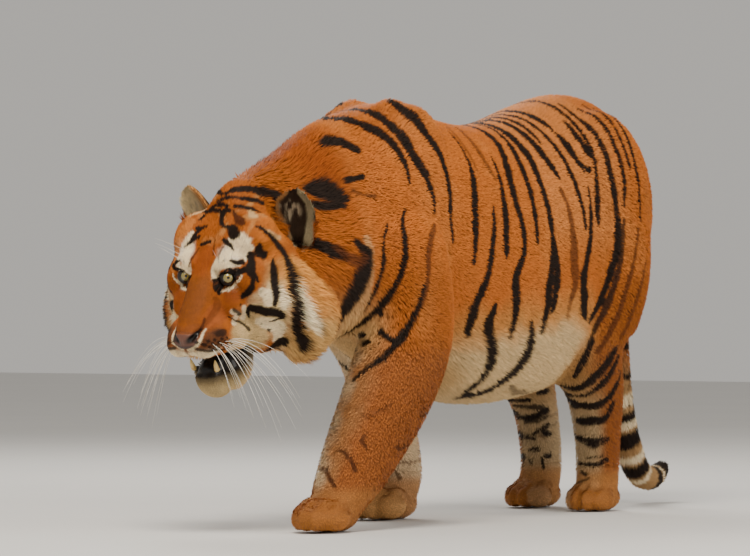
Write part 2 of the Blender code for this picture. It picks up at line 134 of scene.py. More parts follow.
# Paws: the palm's centre, the turn of the toes in degrees towards +X from -Y, and the size.
PAWS = {
    "forepaw_left": (0.113, -0.385, 4.0, 1.06),
    "forepaw_right": (-0.092, 0.195, -4.0, 1.06),
    "hind_paw_left": (0.113, 0.848, 3.0, 0.94),
    "hind_paw_right": (-0.113, 0.940, -3.0, 0.94),
}


def smooth_rows(rows, per_span=5):
    """The rows with more between them, on a Catmull-Rom curve through all their values."""
    rows = np.array(rows, float)
    ends = np.vstack([2 * rows[0] - rows[1], rows, 2 * rows[-1] - rows[-2]])
    made = []
    for a, b, c, d in zip(ends, ends[1:], ends[2:], ends[3:]):
        for step in range(per_span):
            t = step / per_span
            bend = (2 * a - 5 * b + 4 * c - d) * t**2
            made.append(0.5 * (2 * b + (c - a) * t + bend + (3 * b - a - 3 * c + d) * t**3))
    return np.vstack([made, rows[-1]])


def circle(count):
    return np.linspace(0, math.tau, count, endpoint=False)


class Form:
    """Masses gathered in one bmesh, then joined into a single skin."""

    def __init__(self, name):
        self.name, self.mesh = name, bmesh.new()

    def rings(self, rings):
        """A closed shell over rings of equal length, each end closed on its own centre."""
        rows = [[self.mesh.verts.new(p) for p in ring] for ring in rings]
        for low, high in zip(rows, rows[1:]):
            for i in range(len(low)):
                j = (i + 1) % len(low)
                self.mesh.faces.new((low[i], low[j], high[j], high[i]))
        for row, turned in ((rows[0], True), (rows[-1], False)):
            centre = self.mesh.verts.new(sum((v.co for v in row), Vector()) / len(row))
            for i in range(len(row)):
                pair = (row[i], row[(i + 1) % len(row)])
                self.mesh.faces.new((*(reversed(pair) if turned else pair), centre))

    def tube(self, rows, side=(1, 0, 0), around=24, place=None):
        """A tube with round ends along rows of x, y, z, half width and half depth."""
        rows = smooth_rows(rows)
        centres, radii = rows[:, :3], rows[:, 3:5]
        tangents = np.gradient(centres, axis=0)
        tangents /= np.linalg.norm(tangents, axis=1)[:, None]
        dome = [(math.sin(a), math.cos(a)) for a in np.radians([80, 55, 28])]
        first = radii[0].min()
        stations = [(centres[0] - tangents[0] * first * s, radii[0] * c, tangents[0]) for s, c in dome]
        stations += list(zip(centres, radii, tangents))
        end = (centres[-1], radii[-1], tangents[-1])
        stations += [(end[0] + end[2] * end[1].min() * s, end[1] * c, end[2]) for s, c in dome[::-1]]
        made = []
        for centre, (wide, deep), along in stations:
            across = np.array(side, float) - along * np.dot(side, along)
            across /= np.linalg.norm(across)
            other = np.cross(along, across)
            turns = [(math.cos(a), math.sin(a)) for a in circle(around)]
            ring = [Vector(centre + across * wide * c + other * deep * s) for c, s in turns]
            made.append([place @ p for p in ring] if place else ring)
        self.rings(made)

    def barrel(self, sections, widest=0.42, around=40):
        """The trunk: an egg-shaped section at each station, from its back to its belly height."""
        rows = smooth_rows(sections)
        made = []
        for share in (0.35, 0.75):
            first = rows[0].copy()
            middle = (first[1] + first[2]) / 2
            first[1:3] = middle + (first[1] - middle) * share, middle + (first[2] - middle) * share
            first[3] *= share
            first[0] -= (1 - share) * 0.03
            made.append(first)
        rings = []
        for y, back, belly, half in np.vstack([made, rows]):
            middle = belly + (back - belly) * widest
            ring = []
            for a in circle(around):
                up = math.sin(a)
                height = (back - middle) if up > 0 else (middle - belly)
                bulge = abs(math.cos(a)) ** (1.0 if up > 0 else 0.85)
                ring.append(Vector((math.copysign(half * bulge, math.cos(a)), y, middle + height * up)))
            rings.append(ring)
        self.rings(rings)

    def ball(self, centre, radii, turn=(0, 0, 0), place=None, both=False):
        """An ellipsoid, turned by degrees about X, Y and Z. With both, its mirror image as well."""
        for sign in (1, -1) if both else (1,):
            angles = (math.radians(turn[0]), math.radians(turn[1]) * sign, math.radians(turn[2]) * sign)
            at = Vector((centre[0] * sign, centre[1], centre[2]))
            matrix = Matrix.Translation(at) @ Euler(angles).to_matrix().to_4x4() @ Matrix.Diagonal((*radii, 1))
            if place:
                matrix = place @ matrix
            bmesh.ops.create_uvsphere(self.mesh, u_segments=20, v_segments=12, radius=1, matrix=matrix)

    def balls(self, text, place, both=True):
        """Ellipsoids, each typed as its centre and half sizes in millimetres and its turn in degrees."""
        for row in table(text):
            self.ball(row[:3], row[3:6], [round(v * 1000) for v in row[6:]], place, both)

    def join(self, voxel, smoothing):
        """The masses become one closed surface, still in this form, so that finer masses can be laid on it."""
        made = self.skin(voxel, smoothing)
        self.mesh = bmesh.new()
        self.mesh.from_mesh(made.data)
        remove(made)

    def skin(self, voxel, smoothing):
        """One closed surface round all the masses."""
        bmesh.ops.recalc_face_normals(self.mesh, faces=self.mesh.faces)
        made = new_object(self.name, self.mesh)
        remesh = made.modifiers.new("join", "REMESH")
        remesh.mode, remesh.voxel_size = "VOXEL", voxel
        smooth = made.modifiers.new("smooth", "SMOOTH")
        smooth.factor, smooth.iterations = 0.5, smoothing
        apply_modifiers(made)
        return made


def link_new(name, data):
    made = bpy.data.objects.new(name, data)
    bpy.context.scene.collection.objects.link(made)
    return made


def new_object(name, mesh):
    data = bpy.data.meshes.new(name)
    mesh.to_mesh(data)
    mesh.free()
    return link_new(name, data)


def apply_modifiers(obj):
    """The object's mesh becomes what its modifiers make of it."""
    bpy.context.view_layer.update()
    graph = bpy.context.evaluated_depsgraph_get()
    made = bpy.data.meshes.new_from_object(obj.evaluated_get(graph))
    obj.modifiers.clear()
    obj.data = made


def remove(obj):
    bpy.data.objects.remove(obj)


def head_matrix():
    return Matrix.Translation(HEAD_PLACE) @ Euler((HEAD_PITCH, HEAD_ROLL, 0)).to_matrix().to_4x4()


def jaw_matrix():
    """The lower jaw's place: the head's own, swung open about the jaw's hinge."""
    swing = Matrix.Rotation(JAW_OPEN, 4, "X")
    return head_matrix() @ Matrix.Translation(JAW_HINGE) @ swing @ Matrix.Translation(-JAW_HINGE)


def head_form():
    """The skull, muzzle, cheeks and ruff, in the head's frame. The large masses are joined first."""
    form = Form("head_form")
    at = head_matrix()
    form.balls("0 120 8 96 120 84 10 0 0", at, both=False)
    form.balls(
        "74 108 36 56 74 56 10 24 0, 78 60 -26 50 78 62 14 0 18, 86 66 -90 64 80 82 10 0 14, "
        "74 52 -148 62 82 66 10 0 0",
        at,
    )
    muzzle = table("0 80 -76 100 88, 0 20 -86 86 80, 0 -40 -92 68 62, 0 -90 -96 54 46, 0 -118 -98 42 36")
    form.tube(muzzle, place=at)
    ruff = table(
        "96 142 -6 56 40, 118 122 -52 70 48, 138 114 -105 78 58, 157 117 -162 80 66, 128 108 -214 74 62"
    )
    for sign in (1, -1):
        form.tube([(row[0] * sign, *row[1:]) for row in ruff], side=(0, 1, 0), place=at)
    form.tube(NECK_CREST[3:])
    form.tube(THROAT[3:])
    form.join(0.005, 45)
    bridge = "0 70 24 58 46, 0 35 8 50 40, 0 0 -12 44 37, 0 -45 -38 41 36, 0 -90 -63 39 34, 0 -122 -82 32 29"
    form.tube(table(bridge), place=at)
    form.balls(
        "48 26 24 40 40 22 18 8 -16, 54 4 -50 42 62 34 26 0 16, 31 -108 -104 35 42 35 12 0 10, "
        "42 -74 -106 38 54 42 14 0 14, 50 -26 -124 38 62 44 24 0 14",
        at,
    )
    return form


def jaw_form():
    """The lower jaw and chin, in the head's frame before the jaw is opened."""
    form = Form("lower_jaw")
    at = jaw_matrix()
    form.balls("0 -106 -166 42 42 54 10 0 0", at, both=False)
    form.balls("30 -60 -173 36 56 49 10 0 0", at)
    form.tube(table("0 -80 -158 46 40, 0 -20 -160 58 42, 0 40 -150 70 44, 0 90 -140 74 46"), place=at)
    return form


# Each ear: where it stands on the skull, its turn, and its half width, height and the cup's depth.
EAR_PLACE = {"left": Vector((0.110, 0.218, 0.000)), "right": Vector((-0.137, 0.210, 0.004))}
EAR_TURN = [math.radians(a) for a in (-6, 16, 14)]
EAR_WIDE, EAR_TALL, EAR_CUP, EAR_ROOT = 0.049, 0.096, 0.028, 0.040
EAR_FRAME = {
    side: head_matrix()
    @ Matrix.Translation(EAR_PLACE[side])
    @ Euler((EAR_TURN[0], EAR_TURN[1] * sign, EAR_TURN[2] * sign)).to_matrix().to_4x4()
    for side, sign in SIDES
}


def ear_solid(side, voxel):
    """A rounded cup, open to the front and side, that stands on the skull."""
    form = Form(f"ear_{side}")
    rings = []
    for t in np.linspace(0, 1, 14):
        wide = EAR_WIDE * (0.80 + 0.20 * math.sin(math.pi * min(1.0, t * 1.1))) * (1 - t**4.6) ** 0.46 + 0.003
        cup = EAR_CUP * math.sin(math.pi * (0.25 + 0.62 * t))
        shell = 0.0055 + 0.008 * (1 - t)
        ring = []
        for a in circle(24):
            across = math.cos(a)
            bowl = cup * (1 - across**2)
            up = -EAR_ROOT + (EAR_TALL + EAR_ROOT) * t
            ring.append(EAR_FRAME[side] @ Vector((wide * across, bowl + shell * math.sin(a), up)))
        rings.append(ring)
    form.rings(rings)
    return form.skin(voxel, 3)


def paw_form(name):
    """A broad foot: palm, four toes side by side, and the end of the leg above it."""
    x, y, heading, size = PAWS[name]
    leg = FORELEG if name.startswith("forepaw") else HIND_LEG
    form = Form(name)
    place = Matrix.Translation((x, y, 0)) @ Matrix.Rotation(math.radians(heading), 4, "Z")
    place = place @ Matrix.Diagonal((size, size, size, 1))
    form.ball((0, 0.020, 0.036), (0.058, 0.070, 0.040), place=place)
    for across, ahead in ((-0.045, -0.040), (-0.016, -0.064), (0.016, -0.064), (0.045, -0.040)):
        form.ball((across, ahead, 0.032), (0.0195, 0.042, 0.031), (8, 0, -across * 300), place=place)
        form.ball((across * 0.9, ahead + 0.034, 0.052), (0.018, 0.036, 0.024), (-16, 0, 0), place=place)
    form.tube(leg[name.rsplit("_", 1)[1]][-4:])
    return form


def body_form():
    form = Form("trunk")
    form.barrel(TRUNK)
    for rows in (NECK_CREST, THROAT, TAIL):
        form.tube(rows)
    for (side, sign), lead in zip(SIDES, (-0.03, -0.02)):
        form.ball((0.118 * sign, lead, 0.760), (0.080, 0.135, 0.235), (-14, -6 * sign, 0))
        form.ball((0.055 * sign, lead + 0.01, 0.925), (0.048, 0.095, 0.078))
        form.ball((0.128 * sign, lead - 0.090 - 0.040 * sign, 0.590), (0.092, 0.125, 0.150))
        form.tube(FORELEG[side])
        form.ball((0.105 * sign, 0.870, 0.760), (0.120, 0.200, 0.240), (12, 0, 0))
        form.tube(HIND_LEG[side])
    return form


# ---- Small helpers -------------------------------------------------------------------------------

HEAD = head_matrix()
HEAD_TURN, HEAD_AT = np.array(HEAD.to_3x3()), np.array(HEAD.translation)
_low, _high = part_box("eye_left")
SHIFT = (_low + _high) / 2 - HEAD @ Vector((EYE_SIDE, 0, 0))


def to_head(points):
    """Design points in the head's frame."""
    return (points - HEAD_AT) @ HEAD_TURN


def from_head(points):
    return np.asarray(points, float) @ HEAD_TURN.T + HEAD_AT


def rise(low, high, value):
    """0 below low and 1 above high, with a soft step between."""
    t = np.clip((value - low) / (high - low), 0.0, 1.0)
    return t * t * (3 - 2 * t)


def mix(a, b, share):
    a, b, share = np.asarray(a, float), np.asarray(b, float), np.asarray(share, float)
    if share.ndim == 1 and any(v.ndim and v.shape != share.shape for v in (a, b)):
        share = share[:, None]
    return a + (b - a) * share


def unit(vectors):
    return vectors / np.maximum(np.linalg.norm(vectors, axis=-1, keepdims=True), 1e-9)


def length_of(*parts):
    return np.linalg.norm(np.column_stack(parts), axis=1)


def rgb(red, green, blue):
    """A display colour, 0 to 255, as linear light."""
    c = np.array((red, green, blue)) / 255
    return np.where(c <= 0.04045, c / 12.92, ((c + 0.055) / 1.055) ** 2.4)


def overlay(values, *layers):
    """Lays display colours over the values, each with its share."""
    for tone, share in layers:
        values = mix(values, rgb(*tone), share)
    return values


def noise(points, size, seed=0):
    """Smooth values from -1 to 1 that vary over about the size given."""
    p = np.asarray(points) / size + seed * 7.31
    cell = np.floor(p).astype(np.int64)
    f = p - cell
    f = f * f * (3 - 2 * f)
    total = np.zeros(len(p))
    for corner in itertools.product((0, 1), repeat=3):
        c = cell + np.array(corner)
        h = (c[:, 0] * 73856093) ^ (c[:, 1] * 19349663) ^ (c[:, 2] * 83492791) ^ (seed * 9176)
        h = (h ^ (h >> 13)) * 1274126177 & 0x7FFFFFFF
        h = (h ^ (h >> 16)) & 0xFFFF
        total += (h / 32767.5 - 1) * np.prod(np.where(corner, f, 1 - f), axis=1)
    return total


def read_array(items, name, width, kind=np.float32):
    found = np.empty(len(items) * width, kind)
    items.foreach_get(name, found)
    return found.reshape(-1, width)


def points_of(mesh):
    return read_array(mesh.vertices, "co", 3).astype(float)


def normals_of(mesh):
    return read_array(mesh.vertices, "normal", 3).astype(float)


def move_points(mesh, points):
    mesh.vertices.foreach_set("co", np.asarray(points, np.float32).ravel())
    mesh.update()


def surface_of(mesh):
    faces = [tuple(p.vertices) for p in mesh.polygons]
    return BVHTree.FromPolygons([tuple(p) for p in points_of(mesh)], faces)


def put_tones(data, tones):
    layer = data.color_attributes.new("tone", "FLOAT_COLOR", "POINT")
    layer.data.foreach_set("color", np.column_stack([tones, np.ones(len(tones))]).astype(np.float32).ravel())


def along_path(points, rows):
    """For each point: distance from the limb's axis over its radius, the place along it, and its direction."""
    rows = smooth_rows(rows, 4)
    start, step = rows[:-1, :3], np.diff(rows[:, :3], axis=0)
    best, place = np.full(len(points), 1e9), np.zeros(len(points))
    heading = np.zeros((len(points), 3))
    for i in range(len(step)):
        t = np.clip((points - start[i]) @ step[i] / (step[i] @ step[i]), 0, 1)
        radius = mix(rows[i, 3:5].mean(), rows[i + 1, 3:5].mean(), t)
        away = np.linalg.norm(points - start[i] - t[:, None] * step[i], axis=1)
        closer = away / radius < best
        best = np.where(closer, away / radius, best)
        place = np.where(closer, (i + t) / len(step), place)
        heading[closer] = step[i] / np.linalg.norm(step[i])
    return best, place, heading


def axis_at(rows, z):
    """The middle of a limb at each height."""
    rows = smooth_rows(rows, 4)
    return [np.interp(-z, -rows[:, 2], rows[:, i]) for i in (0, 1)]


def new_mesh(name, points, faces, material, tones, uvs, normals):
    """A piece from arrays of triangles, with tones and normals for the points and uvs for the corners."""
    data = bpy.data.meshes.new(name)
    faces = np.asarray(faces, np.int32)
    data.vertices.add(len(points))
    data.vertices.foreach_set("co", np.asarray(points, np.float32).ravel())
    data.loops.add(faces.size)
    data.loops.foreach_set("vertex_index", faces.ravel())
    data.polygons.add(len(faces))
    data.polygons.foreach_set("loop_start", np.arange(0, faces.size, 3, dtype=np.int32))
    data.update(calc_edges=True)
    data.polygons.foreach_set("use_smooth", np.full(len(faces), True))
    put_tones(data, tones)
    data.uv_layers.new(name="OFBake").data.foreach_set("uv", np.asarray(uvs, np.float32).ravel())
    data.normals_split_custom_set_from_vertices(unit(normals).astype(np.float32))
    data.materials.append(material)
    return link_new(name, data)


def settle(obj):
    """Moves a piece's mesh from the design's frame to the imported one, as part of the animal's body."""
    obj.data.transform(Matrix.Translation(SHIFT))
    obj.data.update()
    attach(obj, "root")


# ---- Where each part of the body is --------------------------------------------------------------


def ear_points(points, side):
    matrix = np.array(EAR_FRAME[side].inverted())
    return points @ matrix[:3, :3].T + matrix[:3, 3]


def ear_zones(points, side):
    """Over one ear: its back, and the hollow of its front."""
    x, y, z = ear_points(points, side).T
    t = np.clip((z + EAR_ROOT) / (EAR_TALL + EAR_ROOT), 0, 1)
    bowl = EAR_CUP * np.sin(math.pi * (0.25 + 0.62 * t)) * (1 - np.clip(x / EAR_WIDE, -1, 1) ** 2)
    back = rise(-0.003, 0.003, y - bowl)
    middle = np.interp(z, (-0.05, 0.0, 0.05), (0.013, 0.001, -0.008))
    half = np.interp(z, (-0.055, -0.03, 0.0, 0.03, 0.06, 0.086), (0.003, 0.014, 0.024, 0.033, 0.032, 0.010))
    hollow = rise(1.12, 0.82, np.abs(x - middle) / half) * (1 - back)
    return back, hollow


def belly_edge(y):
    """The height below which the flank turns white."""
    stations = (-0.05, 0.06, 0.10, 0.2, 0.4, 0.5, 0.6, 0.66, 0.69)
    return np.interp(y, stations, (0.40, 0.43, 0.44, 0.45, 0.47, 0.49, 0.48, 0.43, 0.35))


def areas(points):
    """How far each point belongs to each part of the body, from 0 to 1, and what goes with it."""
    x, y, z = points.T
    at = {}
    ahead = (points - np.array(NECK_PLANE[0])) @ np.array(NECK_PLANE[1])
    at["head"] = rise(0.012, -0.012, ahead) * np.maximum(rise(0.34, 0.40, z), rise(-0.50, -0.56, y))
    at["neck"] = rise(-0.22, -0.36, y) * rise(0.42, 0.50, z)
    at["nape"] = at["neck"] * rise(0.06, 0.15, z - 0.70 + np.abs(x) * 0.9 + (y + 0.3) * 0.15)
    at["chest"] = rise(-0.12, -0.22, y) * rise(0.60, 0.46, z) * rise(0.30, 0.38, z) * (1 - at["head"])
    at["belly"] = rise(0.0, 0.1, y) * rise(0.72, 0.62, y) * rise(0.045, 0.0, z - belly_edge(y))
    tail, at["tail_place"], at["tail_way"] = along_path(points, TAIL)
    at["tail"] = rise(1.5, 1.25, tail) * rise(1.055, 1.105, y)
    legs = np.zeros(len(points))
    at["limb_way"] = np.tile((0.0, 0.0, -1.0), (len(points), 1))
    at["limb"] = np.full(len(points), -1)
    for k, (rows, sign) in enumerate(LIMBS):
        ratio, _, way = along_path(points, rows)
        share = rise(1.55, 1.25, ratio) * rise(0.50, 0.36, z) * (x * sign > 0)
        closer = share > legs
        at["limb_way"][closer] = way[closer]
        at["limb"][closer] = k
        legs = np.maximum(legs, share)
    at["leg"] = legs * (1 - at["head"]) * (1 - at["tail"])
    at["paw"] = rise(0.115, 0.085, z) * (1 - at["tail"]) * (y < 1.04)
    at["hind"] = rise(0.60, 0.76, y)
    for side, sign in SIDES:
        a, b, c = ear_points(points, side).T
        inside = (np.abs(a) < 0.056) & (np.abs(b - 0.012) < 0.034)
        upper = rise(0.004, 0.022, c) * (c < 0.108)
        lower = rise(-0.058, -0.048, c) * rise(0.044, 0.036, np.abs(a - 0.006)) * (b < 0.022)
        at["ear_" + side] = inside * np.maximum(upper, lower * (c < 0.05))
    return at


def head_zones(h):
    """Soft masks over the face, from points in the head's frame."""
    x, y, z = np.abs(h[:, 0]), h[:, 1], h[:, 2]
    zone = {}
    leather = np.sqrt((x / 0.0345) ** 2 + ((z + 0.080) / 0.0185) ** 2)
    zone["nose"] = rise(1.0, 0.86, leather) * rise(-0.104, -0.116, y)
    zone["muzzle"] = rise(-0.030, -0.065, y) * rise(-0.055, -0.075, z)
    zone["bridge"] = rise(0.036, 0.026, x) * rise(-0.030, -0.050, y) * (1 - zone["nose"])
    zone["face"] = rise(0.060, 0.020, y) * rise(0.125, 0.095, x)
    zone["cheek"] = rise(0.020, 0.060, y) * rise(0.06, 0.02, z)
    zone["ruff"] = rise(0.130, 0.160, x + (0.03 - z) * 0.12) * rise(0.03, 0.07, y)
    zone["ruff"] = np.maximum(zone["ruff"], rise(0.02, 0.06, y) * rise(-0.17, -0.21, z) * rise(0.05, 0.08, x))
    zone["crown"] = rise(0.045, 0.075, z) * rise(0.01, 0.05, y)
    zone["chin"] = rise(-0.155, -0.180, z) * rise(0.03, -0.01, y)
    zone["throat"] = rise(-0.16, -0.20, z) * rise(-0.01, 0.03, y) * (1 - zone["ruff"])
    zone["eye"] = np.zeros(len(h))
    for sign in (1, -1):
        across, up = eye_angles(h, sign)[:2]
        zone["eye"] = np.maximum(zone["eye"], rise(1.75, 1.35, lid_measure(across, up)) * (h[:, 0] * sign > 0))
    zone["eye"] *= rise(0.035, 0.025, length_of(x - EYE_SIDE, y, z))
    return zone


def lip_heights(y):
    """The heights of the upper lip's edge and of the lower lip's hairy edge, in the head's frame."""
    along = (-0.155, -0.13, -0.10, -0.06, -0.02, 0.01, 0.03)
    upper = np.interp(y, along, (-0.129, -0.132, -0.138, -0.148, -0.160, -0.172, -0.184))
    lower = np.interp(y, along, (-0.183, -0.186, -0.195, -0.206, -0.206, -0.198, -0.192))
    return upper, lower


def mouth_share(h):
    """1 between the lips, where the mouth opens and its inside is painted dark, as painted shade."""
    x, y, z = np.abs(h[:, 0]), h[:, 1], h[:, 2]
    upper, lower = lip_heights(y)
    inside = rise(upper + 0.002, upper - 0.003, z) * rise(lower - 0.003, lower + 0.003, z)
    return inside * rise(0.016, 0.0, y) * (x < 0.078)


# ---- The coat's tables ---------------------------------------------------------------------------

# The hair of each part: length and width in millimetres, tufts for each square centimetre, how far the tips
# draw together, and how far the skin lies inside the coat's outline. Each is laid over those before it.
BODY_HAIR = {
    "trunk": (14, 2.3, 17, 0.04, 0.010),
    "belly": (36, 3.2, 10, 0.40, 0.020),
    "neck": (34, 3.0, 15, 0.35, 0.020),
    "nape": (44, 3.2, 16, 0.50, 0.026),
    "chest": (28, 3.0, 13, 0.30, 0.016),
    "leg": (10, 2.0, 24, 0.02, 0.007),
    "tail": (24, 3.0, 13, 0.20, 0.011),
    "paw": (7, 1.6, 36, 0.0, 0.0035),
}
HEAD_HAIR = {
    "head": (12, 2.1, 30, 0.05, 0.007),
    "cheek": (14, 2.1, 32, 0.10, 0.010),
    "crown": (13, 2.1, 32, 0.06, 0.008),
    "ruff": (50, 3.2, 20, 0.45, 0.022),
    "throat": (32, 3.0, 18, 0.35, 0.014),
    "face": (6, 1.3, 62, 0.0, 0.0032),
    "chin": (20, 2.3, 28, 0.15, 0.010),
    "bridge": (4.0, 1.0, 60, 0.0, 0.0015),
    "muzzle": (5.5, 1.2, 64, 0.0, 0.0022),
}
EAR_HAIR, EAR_HOLLOW_HAIR = (11, 1.7, 44, 0.0), (26, 1.7, 30, 0.30)
EAR_DEPTH = 0.0014


def hair_values(rows, zone, columns):
    """A hair table's values at each point."""
    first, *rest = rows.values()
    values = np.tile(np.array(first)[columns], (len(zone[list(rows)[1]]), 1))
    for name, row in zip(list(rows)[1:], rest):
        values = mix(values, np.array(row)[columns], zone[name])
    return values


def coat_depth(at, zone):
    """How far the skin lies inside the coat's outline."""
    soft = {"chin": zone["chin"] * (1 - zone["muzzle"] * 0.5), "muzzle": zone["muzzle"] * (1 - zone["chin"])}
    face = hair_values(HEAD_HAIR, {**zone, **soft}, [4])[:, 0]
    face = mix(face, 0.0, np.maximum(zone["nose"], zone["eye"]))
    depth = mix(hair_values(BODY_HAIR, at, [4])[:, 0], face, at["head"])
    return mix(depth, EAR_DEPTH, np.maximum(at["ear_left"], at["ear_right"]))


def coat_sizes(points, at, zone):
    """Length and width in metres, tufts for each square centimetre, and how far the tips draw together."""
    columns = [0, 1, 2, 3]
    head = hair_values(HEAD_HAIR, {**zone, "muzzle": zone["muzzle"] * (1 - zone["chin"])}, columns)
    values = mix(hair_values(BODY_HAIR, at, columns), head, at["head"])
    for side, _ in SIDES:
        hollow = ear_zones(points, side)[1] * rise(0.075, 0.045, ear_points(points, side)[:, 2])
        values = mix(values, mix(EAR_HAIR, EAR_HOLLOW_HAIR, hollow), at["ear_" + side])
    length, width, amount, clump = values.T
    return {"length": length / 1000, "width": width / 1000, "amount": amount, "clump": clump}


def sink(obj, fixed=None):
    """Moves a form's surface in by the coat's depth, or by one amount all over."""
    mesh = obj.data
    points, normals = points_of(mesh), normals_of(mesh)
    if fixed is None:
        at = areas(points)
        at["ear_left"] = at["ear_right"] = np.zeros(len(points))
        fixed = coat_depth(at, head_zones(to_head(points)))[:, None]
    move_points(mesh, points - normals * fixed)


# ---- The skin ------------------------------------------------------------------------------------

LID_TURN, LID_ASIDE = math.radians(20), math.radians(8)
LID_WIDE, LID_UP, LID_DOWN, LID_TILT = (math.radians(a) for a in (50, 24, 27, 15))
NOSTRIL_TURN = math.radians(33)


def eye_angles(h, sign):
    """Angles across and up from the middle of one eye's opening, and the distance from the ball's middle."""
    p = h - np.array((EYE_SIDE * sign, 0, 0))
    turn = LID_TURN + LID_ASIDE * sign
    out = np.array((math.sin(turn) * sign, -math.cos(turn), 0))
    side = np.array((math.cos(turn) * sign, math.sin(turn), 0))
    away = np.maximum(np.linalg.norm(p, axis=1), 1e-6)
    across = np.arctan2(p @ side, p @ out)
    across = across * np.where((across > 0) & (sign < 0), 1.35, 1.0)
    up = np.arcsin(np.clip(p[:, 2] / away, -1, 1)) - across * math.tan(LID_TILT)
    return across, up, away


def lid_measure(across, up):
    """1 on the edge of the eye's opening, less inside: an almond, fuller above than below."""
    tall = np.where(up > 0, LID_UP, LID_DOWN)
    lean = across + np.where(up > 0, 0.10, -0.08)
    return np.sqrt((lean / LID_WIDE) ** 2 + (np.abs(up) / tall) ** 1.7)


def split_near(mesh, middle, reach):
    """Halves the edges near a point of the head."""
    middle = Vector(from_head(np.array([middle]))[0])
    edges = [e for e in mesh.edges if (e.verts[0].co + e.verts[1].co - 2 * middle).length < 2 * reach]
    bmesh.ops.subdivide_edges(mesh, edges=edges, cuts=1, use_grid_fill=True)
    bmesh.ops.triangulate(mesh, faces=[f for f in mesh.faces if len(f.verts) > 3])


def soften(obj, share, rounds):
    """Evens the surface out where share, one for each point, is high."""
    mesh = obj.data
    points = points_of(mesh)
    a, b = read_array(mesh.edges, "vertices", 2, np.int32).T
    count = np.bincount(np.r_[a, b], minlength=len(points))[:, None]
    for _ in range(rounds):
        total = np.zeros_like(points)
        for k in range(3):
            total[:, k] = np.bincount(a, points[b, k], len(points)) + np.bincount(b, points[a, k], len(points))
        points += (total / np.maximum(count, 1) - points) * share[:, None] * 0.6
    move_points(mesh, points)


def shape_lids(h):
    """Lids that close round each eyeball, with the opening sunk into it."""
    for sign in (1, -1):
        middle = np.array((EYE_SIDE * sign, 0, 0))
        across, up, away = eye_angles(h, sign)
        near = (np.abs(across) < 1.9) & (away < 0.040) & (h[:, 0] * sign > 0)
        past = (lid_measure(across, up) - 1) * LID_UP
        lid = EYE_RADIUS + 0.0012 + 0.0016 * rise(0, 0.16, past) + 0.0030 * rise(0.10, 0.55, past)
        lid -= 0.0011 * np.exp(-(((past - 0.26) / 0.07) ** 2)) * (up > 0)
        lid = mix(EYE_RADIUS - 0.0035, lid, rise(-0.13, 0.0, past))
        lid = mix(lid, away, rise(0.42, 1.05, past))
        h[near] = (middle + (h - middle) * (lid / away)[:, None])[near]
    return h


def nostril(x, z):
    """Places along and across one nostril's slit, which slants up and out; x is measured outwards."""
    side, up, cos, sin = x - 0.0215, z + 0.0750, math.cos(NOSTRIL_TURN), math.sin(NOSTRIL_TURN)
    return side * cos + up * sin, up * cos - side * sin


def whisker_spot(row, step):
    """Where a whisker's root lies on the side of the muzzle: back and up from the eyes."""
    return np.array((-0.140 + 0.0125 * step + 0.004 * row, -0.0845 - 0.0078 * row - 0.0042 * step))


def from_spot(y, z, row, step):
    """The distance from a whisker's root, seen from the side."""
    return np.hypot(y - whisker_spot(row, step)[0], z - whisker_spot(row, step)[1])


def shape_nose(h, normals):
    """Nose leather with its comma nostrils, the cleft lip under it, and the pads that carry the whiskers."""
    x, y, z = h.T
    front = rise(-0.115, -0.128, y)
    h = h + normals * (head_zones(h)["nose"] * 0.0016)[:, None]
    for sign in (1, -1):
        a, b = nostril(x * sign, z)
        hole = np.exp(-((a / 0.0120) ** 2 + (b / 0.0056) ** 2) * 1.1)
        rim = np.exp(-((a / 0.0130) ** 2 + ((b - 0.0090) / 0.0040) ** 2))
        h[:, 1] += hole * 0.0115 * rise(-0.108, -0.120, y)
        h[:, 1] -= rim * 0.0018 * front
    cleft = np.exp(-((x / 0.0016) ** 2)) * rise(-0.092, -0.098, z) * rise(-0.132, -0.120, z) * front
    h[:, 1] += cleft * 0.0030
    over = np.exp(-((x / 0.0020) ** 2)) * rise(-0.092, -0.086, z) * rise(-0.066, -0.072, z) * front
    h[:, 1] += over * 0.0009
    inward = np.column_stack([x * 0.9, y * 0 + (y + 0.02) * 0.6, 0 * y])
    h = h - unit(inward) * (mouth_share(h) * rise(0.02, -0.04, y) * 0.0080)[:, None]
    for row in range(4):
        for step in range(6):
            away = from_spot(y, z, row, step) + (np.abs(x) < 0.02)
            h = h + normals * (0.0006 * np.exp(-((away / 0.0030) ** 2)))[:, None]
    return h


def trim(obj, point, normal):
    """Cuts off what lies behind a plane, and closes the cut."""
    mesh = bmesh.new()
    mesh.from_mesh(obj.data)
    everything = mesh.verts[:] + mesh.edges[:] + mesh.faces[:]
    cut = bmesh.ops.bisect_plane(mesh, geom=everything, plane_co=point, plane_no=normal, clear_inner=True)
    bmesh.ops.holes_fill(mesh, edges=[e for e in cut["geom_cut"] if isinstance(e, bmesh.types.BMEdge)])
    mesh.to_mesh(obj.data)
    mesh.free()


def union(obj, other):
    """Joins two closed surfaces, by the slower solver where the faster one loses part of them."""
    whole = obj.data.copy()
    for solver in ("MANIFOLD", "EXACT"):
        obj.data = whole.copy()
        join = obj.modifiers.new("join", "BOOLEAN")
        join.operation, join.object, join.solver = "UNION", other, solver
        apply_modifiers(obj)
        if len(obj.data.vertices) >= len(whole.vertices) * 0.8:
            break
    remove(other)


